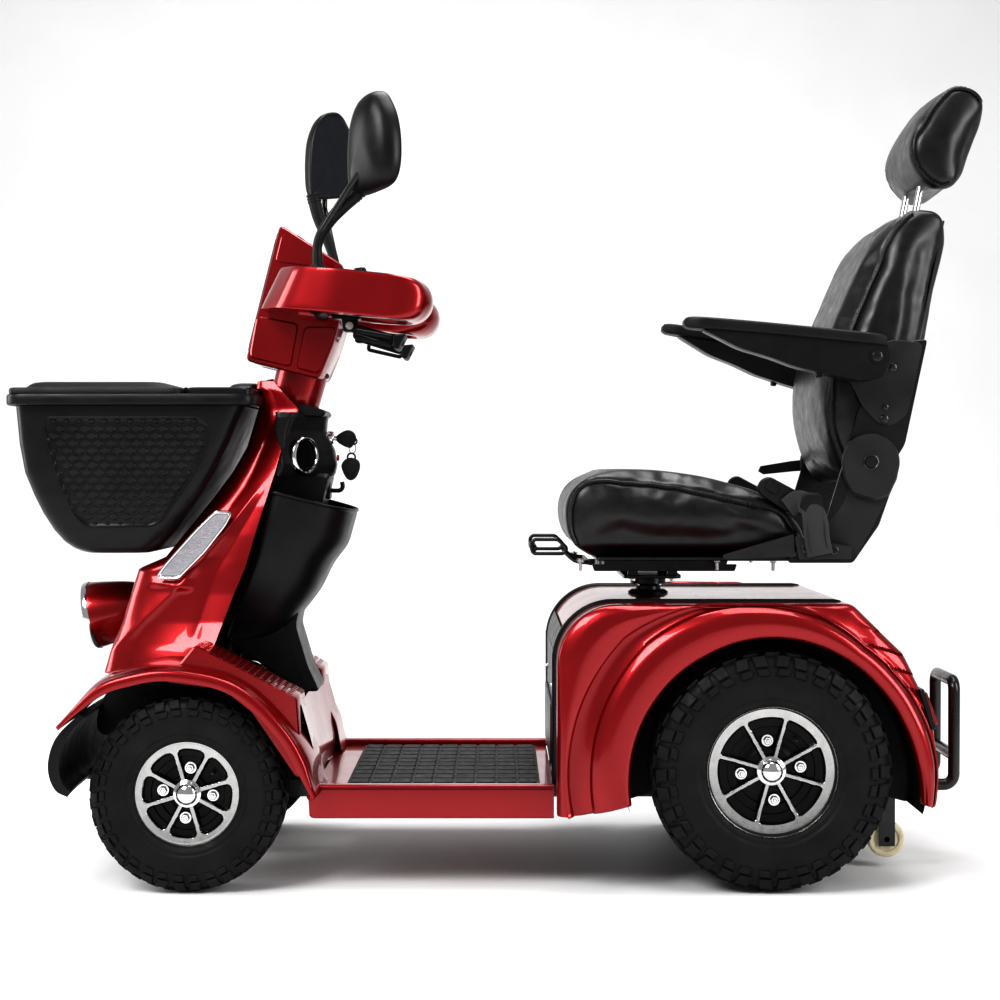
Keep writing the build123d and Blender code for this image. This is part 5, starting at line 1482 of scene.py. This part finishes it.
def handlebar():
    """A red guard round each hand, the rubber grips inside, the lever lugs and the mirror stalk boots."""
    outer = [(-137, 90), (-135, 168), (-98, 240), (-42, 265), (84, 265), (121, 252), (137, 222), (137, 150),
             (122, 112), (60, 90)]
    inner = [(-92, 122), (-84, 176), (-36, 222), (74, 226), (94, 212), (94, 150), (80, 132)]
    middle = np.array([5.0, 172.0])
    half = 37.0
    heights = [half * math.sin(a) for a in np.linspace(-math.pi / 2, math.pi / 2, 23)]
    b = Build()
    for side in (LEFT, RIGHT):
        out = rounded(outer, 22, 8)
        hole = rounded(inner, 22, 8)
        rows = []
        gasket = []
        for turn in np.linspace(0, 2 * math.pi, 220, endpoint=False):
            far = ray_hit(out, middle, turn)
            near = min(ray_hit(hole, middle, turn), far - 8)
            back = float(smooth_step(0.45, 0.92, math.cos(turn)))
            power = 2.0 + 9.0 * (1 - back)
            bulge = min(7.0 + 30.0 * back, far - near - 5)
            section = [(far - bulge * (1 - max(1 - abs(z / half) ** power, 0) ** (1 / power)),
                        z) for z in heights]
            section += [(near + 3, half), (near, half - 4), (near, 0), (near, 4 - half), (near + 3, -half)]

            def placed(r, z):
                x = middle[0] + r * math.cos(turn)
                slant = float(smooth_step(-30, -135, x)) * 0.36 * (half - z)
                return guard_at(x - slant, side * (middle[1] + r * math.sin(turn)), z)
            rows.append([placed(r, z) for r, z in section])
            gasket.append(placed(far - bulge - 2.5, half - 0.6))
        b.grid(rows, wrap_rows=True, wrap_columns=True)
        b.tube(gasket, 2.2, 8, 3, closed=True)
        for y in (136, 156):
            lug = rounded([(-280, 945), (-256, 945), (-253, 972), (-283, 972)], 5)
            b.plate(lug, side, y - 3, y + 3, 1, 1)
        b.bolt((-268, side * 159, 955), (0, side, 0), 5, 3, 2)
        b.plate(rounded([(-300, 966), (-248, 966), (-248, 978), (-300, 978)], 4), side, 126, 166, 1, 2)
    b.piece("hand_guards", [RED, PAINT, STEEL, SEAL], "tiller", ["handlebar_guard"], angle=40)

    bar_x, bar_z = STEER_POINT[0] + 130 * STEER_AXIS[0] + 20, STEER_POINT[2] + 130 * STEER_AXIS[2]
    grips = Build()
    for side in (LEFT, RIGHT):
        profile = [(11.2, 112), (17, 113), (17.5, 118), (14.5, 121)]
        for i in range(14):
            y = 124 + 7.0 * i
            profile += [(15.4, y), (15.9, y + 2.2), (15.4, y + 4.4), (14.2, y + 5.2)]
        profile += [(15.5, 224), (16.5, 228), (14, 232), (0, 233)]
        grips.revolve(profile, (bar_x, 0, bar_z), (0, side, 0), 40)
    grips.piece("hand_grips", [SEAL], "tiller")

    stalks = Build()
    paths = [[(-318, -212, 1020), (-318, -213, 1050), (-317, -214, 1092), (-300, -219, 1124),
              (-277, -222, 1150), (-249, -223, 1176)],
             [(-318, 212, 1020), (-319, 213, 1050), (-324, 216, 1100), (-340, 218, 1150), (-356, 219, 1190),
              (-366, 219, 1230)]]
    for path in paths:
        curve = spline(path, 60)
        radii = np.interp(np.linspace(0, 1, 60), [0, 0.1, 0.2, 0.35, 0.9, 1],
                          [15, 13, 9.5, 8.2, 12.2, 12.5])
        stalks.tube(curve, radii, 20, 0)
        base = np.array(path[0])
        stalks.revolve([(10, 12), (21, 13), (22, 17), (20, 22), (15, 25), (13, 34)], base, (0, 0, 1), 40, 0)
        stalks.bolt(base + np.array([0, 0, 20]), (0, 0, 1), 15, 5, 1)
        along = unit(curve[-1] - curve[-6])
        for i in range(3):
            stalks.revolve([(10, -10 + 6 * i), (13.4, -9 + 6 * i), (13.4, -6 + 6 * i), (10, -5 + 6 * i)],
                           curve[-1], along, 24, 0)
        stalks.tube([curve[-1], curve[-1] + along * 16], [12, 9], 20, 0)
    stalks.piece("mirror_stalk_sleeves", [GRAINED, CHROME], "tiller")

    for side, name, body in ((LEFT, "brake", "brake"), (RIGHT, "throttle", "throttle")):
        lever = Build()
        arm = rounded([(-277, 948), (-268, 963), (-258, 960), (-172, 934), (-174, 920), (-186, 920)], 4)
        lever.plate(arm, side, 140, 152, 0, 1.5)
        loop = rounded([(-256, 946), (-258, 934), (-196, 920), (-192, 934)], 4, 5)
        lever.tube([(x, side * 176, z) for x, z in loop], 3.6, 12, 0, closed=True)
        lever.tube([(-196, side * 120, 927), (-194, side * 176, 927)], 3.6, 12, 0)
        pad = rounded([(-190, 938), (-192, 916), (-182, 912), (-172, 932), (-168, 940)], 5)
        lever.plate(pad, side, 101, 191, 0, 3)
        lever.revolve([(0, -8), (7.5, -8), (7.5, 8), (0, 8)], (-268, side * 146, 955), (0, 1, 0), 24, 1)
        lever.piece(f"{name}_finger_lever", [GRAINED, STEEL], body, [f"{name}_lever"])

    knob = Build()
    centre = np.array([-250.0, -150, 1041.0])
    ribs = []
    for turn in np.linspace(0, 2 * math.pi, 96, endpoint=False):
        swell = 0.55 * math.cos(16 * turn)
        across = np.array([math.cos(turn), math.sin(turn), 0])
        ribs.append([centre + np.array([0, 0, h]) + across * (r + (swell if r > 8 else 0))
                     for r, h in ((11, 0), (11, 3), (10.4, 11.5), (9, 14.5), (4, 15.5), (0.01, 15.6))])
    knob.grid(ribs, wrap_rows=True)
    knob.tube([centre + np.array([0, 0, 16]), centre + np.array([8.5, 0, 15.6])], 0.9, 6, 1)
    knob.piece("speed_dial", [GRAINED, REFLECTOR], "speed_dial", ["speed_knob"])


def mirrors():
    """Mirror heads: a bulged shell, narrow at the top and cut slantwise below, with a glass set into it."""
    egg = [(0.11, 1.0), (-0.20, 0.97), (-0.47, 0.88), (-0.73, 0.66), (-0.93, 0.29), (-1.0, -0.15),
           (-1.0, -0.54), (-0.96, -0.86), (-0.84, -0.99), (-0.55, -1.0), (-0.07, -0.96), (0.51, -0.88),
           (0.83, -0.73), (0.98, -0.40), (0.97, 0.07), (0.82, 0.49), (0.55, 0.81), (0.34, 0.95)]
    ring = spline(egg, 120, closed=True)
    for side, hand, stalk in ((LEFT, "left", (-230, -266, 1222)), (RIGHT, "right", (-348, 262, 1278))):
        facing = unit([1, -side, 0])
        across = unit([1, side, 0])
        centre = np.array(stalk) + facing * 17 + np.array([0, 0, 35])

        def at(u, v, d):
            return centre + across * (u * 58) + np.array([0, 0, v * 86]) + facing * d
        b = Build()
        rings = [(0.90, 9.0), (0.93, 10.5), (0.97, 11), (1.0, 9), (1.0, 5), (0.985, -2), (0.95, -9),
                 (0.88, -16), (0.76, -22), (0.6, -26.5), (0.4, -29.5), (0.2, -31), (0.02, -31.4)]
        b.grid([[at(u * s, v * s, d) for u, v in ring] for s, d in rings], 0, wrap_columns=True, caps=True)
        glass = [(0.905, 9.2), (0.6, 8.9), (0.3, 8.7), (0.02, 8.6)]
        b.grid([[at(u * s, v * s, d) for u, v in ring] for s, d in glass], 1, wrap_columns=True, caps=True)
        b.piece(f"mirror_{hand}_head", [PLASTIC, MIRROR_GLASS], f"mirror_{hand}",
                [f"mirror_head_{hand}"], angle=50)


# ---- Seat metalwork and arms ----------------------------------------------------------------
ARM_PIVOT = (624, 895)


def armrests():
    """A textured pad over a tapering body on each side. The right arm rests 5 degrees higher."""
    for side, hand, lift in ((LEFT, "left", 0.0), (RIGHT, "right", math.radians(5))):
        b = Build()
        top = spline([(303, 956), (308, 961.5), (330, 962), (400, 956.5), (480, 949), (560, 941),
                      (630, 933.5), (640, 930)], 60)
        under = spline([(302, 948), (310, 943), (330, 941), (400, 936), (480, 929), (560, 921), (630, 914),
                        (640, 911)], 60)
        rows = []
        for i in range(60):
            x = (top[i][0] + under[i][0]) / 2
            end = min(1.0, 0.55 + 0.45 * math.sin(min(i / 6.0, 1) * math.pi / 2),
                      1.0 if i < 56 else 1 - 0.03 * (i - 55))
            half_y = 33 * end
            low, high = under[i][1], top[i][1]
            section = rounded([(-half_y, low), (half_y, low), (half_y, high - 2), (half_y * 0.55, high),
                               (-half_y * 0.55, high), (-half_y, high - 2)], 5, 5)
            rows.append([(x, side * 257 + y, z) for y, z in section])
        b.grid(rows, wrap_columns=True, caps=True)
        outline = rounded([(330, 941), (395, 908), (449, 892), (488, 877), (557, 861), (607, 852),
                           (640, 862), (652, 895), (640, 926), (600, 931)], 12)
        b.plate(outline, side, 231, 283, 1, 5)
        b.bolt((624, side * 284, 895), (0, side, 0), 8.5, 3.5, 2, sides=28)
        b.tube([(618, side * 288, 893), (630, side * 288, 897)], 1.4, 6, 1)
        b.revolve([(6, -6), (6, 4), (4, 6), (0, 6)], (530, side * 262, 866), (0, 0, -1), 20, 2)

        def turned(p):
            x, z = p[0] - ARM_PIVOT[0], p[2] - ARM_PIVOT[1]
            return (ARM_PIVOT[0] + x * math.cos(lift) + z * math.sin(lift), p[1],
                    ARM_PIVOT[1] - x * math.sin(lift) + z * math.cos(lift))
        b.moved(turned)
        b.piece(f"armrest_{hand}_padded", [GRAINED, PLASTIC, PAINT], f"arm_{hand}",
                [f"armrest_{hand}"], angle=38)


def seat_sides():
    """Recliner covers on the back, and the fixed skirts, bolts and belt anchors on the seat."""
    covers = Build()
    for side in (LEFT, RIGHT):
        arc = [(624 + 49 * math.cos(a), 718 + 49 * math.sin(a)) for a in np.linspace(-0.25, math.pi + 0.1,
                                                                                     40)]
        cover = np.array(arc + [(578, 690), (592, 664), (630, 652), (655, 660), (668, 690)])
        covers.plate(rounded(cover, 3, 3), side, 225, 238, 0, 4)
        covers.revolve([(11, -29), (11, -12)], (623.5, side * 238, 718), (0, side, 0), 32, 1)
        covers.revolve([(13.5, 0), (13.5, 1.0), (12, 1.6), (10.2, 0.4), (9.4, 1.6), (0, 2.2)],
                       (623.5, side * 238, 718), (0, side, 0), 40, 1)
        plate = rounded([(592, 905), (588, 862), (612, 812), (640, 782), (664, 780), (690, 800), (716, 921),
                         (668, 928), (640, 920)], 12)
        covers.plate(plate, side, 213, 218, 0, 1.5)
        inner_plate = rounded([(606, 690), (588, 740), (604, 800), (640, 880), (668, 922), (724, 928),
                               (686, 748), (650, 690)], 8)
        covers.plate(inner_plate, side, 209, 214, 1, 1)
        covers.revolve([(11, 0), (11, 46), (9, 48), (0, 48)], (624, side * 212, 895), (0, side, 0), 32, 1)
        for x, z, size in ((664, 880, 7), (650, 792, 7), (652, 812, 5)):
            covers.revolve([(0, 0), (size, 0), (size, 1.6), (size - 1.5, 2.8), (0, 3)], (x, side * 218, z),
                           (0, side, 0), 28, 1)
            covers.revolve([(size * 0.45, 3.1), (size * 0.45, 3.6), (0, 3.6)], (x, side * 218, z),
                           (0, side, 0), 6, 0)
    covers.piece("recliner_covers", [COVER, PAINT], "back", ["back_frame"], angle=38)

    skirts = Build()
    for side in (LEFT, RIGHT):
        wedge = rounded([(372, 561), (492, 596), (494, 557), (372, 553)], 3)
        skirts.plate(wedge, side, 240.6, 242.6, 0, 0.8)
        flange = rounded([(493, 592), (506, 592), (514, 584), (590, 574), (590, 554), (500, 552)], 5)
        skirts.plate(flange, side, 240, 243, 0, 0.8)
        skirts.plate(rounded([(500, 590), (590, 575), (588, 556), (500, 556)], 3), side, 222, 241, 0, 1)
        for x, z in ((512, 571), (560, 568)):
            skirts.revolve([(0, 0), (7.5, 0), (7.5, 1.4), (6, 2.2), (3.6, 2.2), (3.4, 0.8), (0, 0.8)],
                           (x, side * 243, z), (0, side, 0), 28, 1)
        plate = rounded([(538, 600), (575, 640), (588, 672), (584, 752), (630, 766), (668, 746), (672, 692),
                         (644, 636), (604, 560), (586, 548), (538, 552)], 8)
        skirts.plate(plate, side, 219, 224.3, 0, 1)
        for x in (134, 372, 470):
            skirts.revolve([(0, 0), (3, 0), (3, -20), (2, -21), (0, -21)], (x, side * 150, 550), (0, 0, 1),
                           16, 2)
            skirts.bolt((x, side * 150, 548), (0, 0, -1), 6.0, 4, 2)
    skirts.piece("seat_side_skirts", [COVER, PAINT, STEEL], "seat", angle=38)

    belt = Build()
    for side in (LEFT, RIGHT):
        path = spline([(536, 560), (530, 590), (528, 612), (520, 640), (500, 652), (482, 640)], 40)
        ahead = np.gradient(path, axis=0)
        rows = []
        for i, ((x, z), along) in enumerate(zip(path, ahead)):
            along = unit(along)
            across = np.array([-along[1], along[0]])
            wide = 22 - 4 * float(smooth_step(14, 30, i))
            bow = 246.5 + 2.5 * math.sin(i / 39 * math.pi) - 10 * float(smooth_step(26, 39, i))
            rows.append([(x + across[0] * s * wide, side * (bow + lift), z + across[1] * s * wide) for s,
                         lift in
                         ((-1, 0), (-0.94, 1.1), (0, 1.5), (0.94, 1.1), (1, 0), (0.94, -0.9), (0, -0.5),
                          (-0.94, -0.9))])
        belt.grid(rows, 0, wrap_columns=True, caps=True)
        for share in (-0.7, 0.7):
            belt.tube([(row[2][0] + share * (row[3][0] - row[2][0]), row[2][1] + side * 0.3,
                        row[2][2] + share * (row[3][2] - row[2][2])) for row in rows[3:18]], 0.6, 6, 1)
        buckle = rounded([(508, 664), (486, 630), (440, 660), (430, 672), (438, 688), (452, 694)], 8)
        belt.plate(buckle, side, 214, 232, 2, 4)
        belt.plate(rounded([(452, 686), (444, 674), (462, 662), (470, 674)], 3), side, 216, 235, 2, 1)
        belt.plate(rounded([(548, 620), (520, 620), (500, 640), (508, 668), (540, 664)], 8),
                   side, 236, 250, 2, 4)
    belt.piece("seat_belt_stubs", [WEBBING, THREAD, GRAINED], "seat", ["seat_belt"],
               angle=40)

    shell = Build()
    front = spline([(664, 744), (696, 850), (712, 929), (736, 1040), (757, 1136)], 40)
    rows = []
    for i, (x, z) in enumerate(front):
        wide = 176 - 8 * (2 * i / 39 - 1) ** 4
        rows.append([(x + 4 + 11 * (1 - (y / wide) ** 4), y, z) for y in np.linspace(-wide, wide, 48)])
    shell.grid(rows)
    for share in (0.2, 0.35, 0.5, 0.65, 0.8):
        row = rows[int(share * 39)]
        shell.tube([(x + 1, y, z) for x, y, z in row[6:-6]], 2.4, 8, 0)
    obj = shell.piece("back_rest_shell", [GRAINED], "back", angle=50)
    modifier(obj, "SOLIDIFY", thickness=0.003, offset=0.0)

    pan = Build()
    pan.prism(rounded([(158, -216), (560, -216), (560, 216), (158, 216)], 14), 549, 556, 0, 1.5, axis="z")
    for side in (LEFT, RIGHT):
        for y in (95, 113):
            pan.plate(rounded([(180, 534), (392, 534), (396, 550), (176, 550)], 3),
                      side, y - 1.5, y + 1.5, 0, 0.5)
        bracket = [(486, 546), (596, 546), (640, 610), (668, 690), (662, 742), (630, 762), (590, 752),
                   (574, 700), (545, 604), (538, 556), (486, 556)]
        pan.plate(rounded(bracket, 6), side, 218, 223.5, 0, 1)
        for x in (172, 184):
            pan.tube([(x, side * 40, 524), (x, side * 40, 549)], 3.6, 16, 1)
    pan.piece("seat_pan_plate", [PAINT, STEEL], "seat", ["seat_pan"], angle=35)

    release = Build()
    loop = rounded([(106, 557), (54, 557), (50, 562), (50, 577), (55, 582), (96, 582), (112, 566)], 5, 5)
    for side in (LEFT, RIGHT):
        release.tube([(x, side * 106, z) for x, z in loop], 3.4, 14, 0, closed=True)
        release.tube(spline([(150, side * 106, 541), (126, side * 106, 545), (108, side * 106, 560)], 16),
                     4, 14, 0)
    for x, z in ((150, 541), (54, 566)):
        release.tube([(x, -108, z), (x, 108, z)], 3.8, 14, 0)
    release.tube([(53, -104, 566), (53, 104, 566)], 6.5, 20, 1)
    release.piece("slide_release_loop", [PAINT, SEAL], "slide_release",
                  ["slide_release_bar"])

    turn = Build()
    plate = rounded([(212, -112), (314, -112), (314, 112), (212, 112)], 16)
    turn.prism(plate, 513, 519, 0, 1, axis="z")
    for side in (LEFT, RIGHT):
        turn.plate(rounded([(160, 526), (408, 526), (412, 538), (156, 538)], 2.5), side, 100, 109, 0, 0.8)
        for x in (228, 298):
            turn.plate(rounded([(x - 10, 516), (x + 10, 516), (x + 8, 528), (x - 8, 528)], 2),
                       side, 99, 110, 0, 0.8)
            turn.bolt((x, side * 104, 513), (0, 0, -1), 5, 3.5, 1)
    turn.piece("swivel_turntable", [PAINT, STEEL], "swivel", ["swivel_plate"],
               angle=35)


def rear_hoop():
    """Bent tube hoop with welded feet."""
    b = Build()
    for side in (LEFT, RIGHT):
        corner = [(705, side * 75, 143), (785, side * 75, 143)]
        corner += [(785 + 19 * math.sin(a), side * 75, 162 - 19 * math.cos(a)) for a in np.linspace(0.2,
                                                                                                    1.57,
                                                                                                    8)]
        corner += [(804, side * 75, 310)]
        corner += [(804, side * (75 - 18 * (1 - math.cos(a))),
                    310 + 18 * math.sin(a)) for a in np.linspace(0.2, 1.57, 8)]
        corner += [(804, 0, 328)]
        b.tube(corner, 10.5, 24)
        b.revolve([(10.6, 0), (16, 0), (16, 5), (12, 7), (10.6, 10)], (706, side * 75, 143), (1, 0, 0), 32)
    b.tube([(804, -75, 195), (804, 75, 195)], 10.5, 24)
    b.piece("rear_hoop_tube", [PAINT], "chassis", ["rear_bumper"])

    post = Build()
    post.revolve([(23, 0), (23, 132), (25, 134), (32, 137), (32, 149), (31, 150)], (263, 0, 362), (0, 0, 1),
                 64)
    post.revolve([(36, 118), (36, 122), (30, 126), (23.2, 126)], (263, 0, 362), (0, 0, 1), 64, 1)
    for i in range(4):
        turn = math.pi / 4 + i * math.pi / 2
        post.bolt((263 + 27.5 * math.cos(turn), 27.5 * math.sin(turn), 499), (0, 0, -1), 3.4, 2.6, 2)
    post.piece("seat_post_tube", [PAINT, SEAL, STEEL], "chassis", ["seat_post"])


basket()
console()
storage_bin()
tiller()
handlebar()
mirrors()
armrests()
seat_sides()
rear_hoop()
for node_name in ("main_frame", "tie_rod", "transaxle", "batteries",
                  "motor_controller", "steering_knuckle_left", "steering_knuckle_right", "recline_lever"):
    modifier(frame["nodes"][node_name], "WELD", merge_threshold=0.00002)
    modifier(frame["nodes"][node_name], "BEVEL", width=0.0009, segments=2, limit_method="ANGLE",
             angle_limit=math.radians(40))


# ---- Stage ----------------------------------------------------------------------------------
def area_light(name, place, look_at, size, power):
    """A white rectangular light. Places and sizes are metres, power is watts."""
    light = bpy.data.lights.new(name, "AREA")
    light.shape = "RECTANGLE"
    light.size, light.size_y = size
    light.energy = power
    obj = bpy.data.objects.new(name, light)
    bpy.context.scene.collection.objects.link(obj)
    obj.location = place
    obj.rotation_mode = "QUATERNION"
    obj.rotation_quaternion = (Vector(look_at) - Vector(place)).to_track_quat("-Z", "Y")


def studio():
    """Even white surroundings, a pale floor that curves up behind, four soft lights and the camera."""
    scene = bpy.context.scene
    world = bpy.data.worlds.new("studio")
    world.use_nodes = True
    world.node_tree.nodes["Background"].inputs["Color"].default_value = (1.0, 1.0, 1.0, 1)
    world.node_tree.nodes["Background"].inputs["Strength"].default_value = 0.34
    scene.world = world
    scene.view_settings.view_transform = "Standard"
    scene.view_settings.look = "High Contrast"

    floor = Finish("studio_floor", (0.86, 0.86, 0.86), 0.55)
    floor.colours(floor.noise(3, 2), [(0.3, (0.84, 0.84, 0.84)), (0.7, (0.87, 0.87, 0.87))])
    mesh = bpy.data.meshes.new("studio_floor")
    reach, front, bend_from, bend_r, top = 12.0, -8.0, 2.2, 2.0, 6.0
    curve = [(front, 0.0), (bend_from, 0.0)]
    curve += [(bend_from + bend_r * math.sin(a), bend_r - bend_r * math.cos(a))
              for a in np.linspace(0.1, math.pi / 2, 14)]
    curve += [(bend_from + bend_r, top)]
    verts = [(x, y, z) for y, z in curve for x in (-reach, reach)]
    mesh.from_pydata(verts, [], [(2 * i, 2 * i + 1, 2 * i + 3, 2 * i + 2) for i in range(len(curve) - 1)])
    mesh.materials.append(floor.material)
    obj = bpy.data.objects.new("studio_floor", mesh)
    scene.collection.objects.link(obj)
    soften(obj, 60)

    area_light("key", (-1.9, -2.4, 2.9), (-0.1, 0, 0.5), (1.6, 1.6), 95)
    area_light("top", (0.3, 0.2, 3.3), (0, 0, 0.4), (2.6, 1.8), 80)
    area_light("side", (2.6, -1.6, 1.5), (0.2, 0, 0.5), (0.9, 2.0), 40)
    area_light("front", (-3.0, 0.2, 1.2), (-0.4, 0, 0.6), (1.2, 2.0), 40)

    camera = bpy.data.cameras.new("camera")
    camera.sensor_width = 36.0
    camera.lens = 69.8
    obj = bpy.data.objects.new("camera", camera)
    scene.collection.objects.link(obj)
    obj.location = (-0.0065, -3.530, 0.7045)
    obj.rotation_euler = (math.radians(90 - 0.886), 0, 0)
    scene.camera = obj


studio()
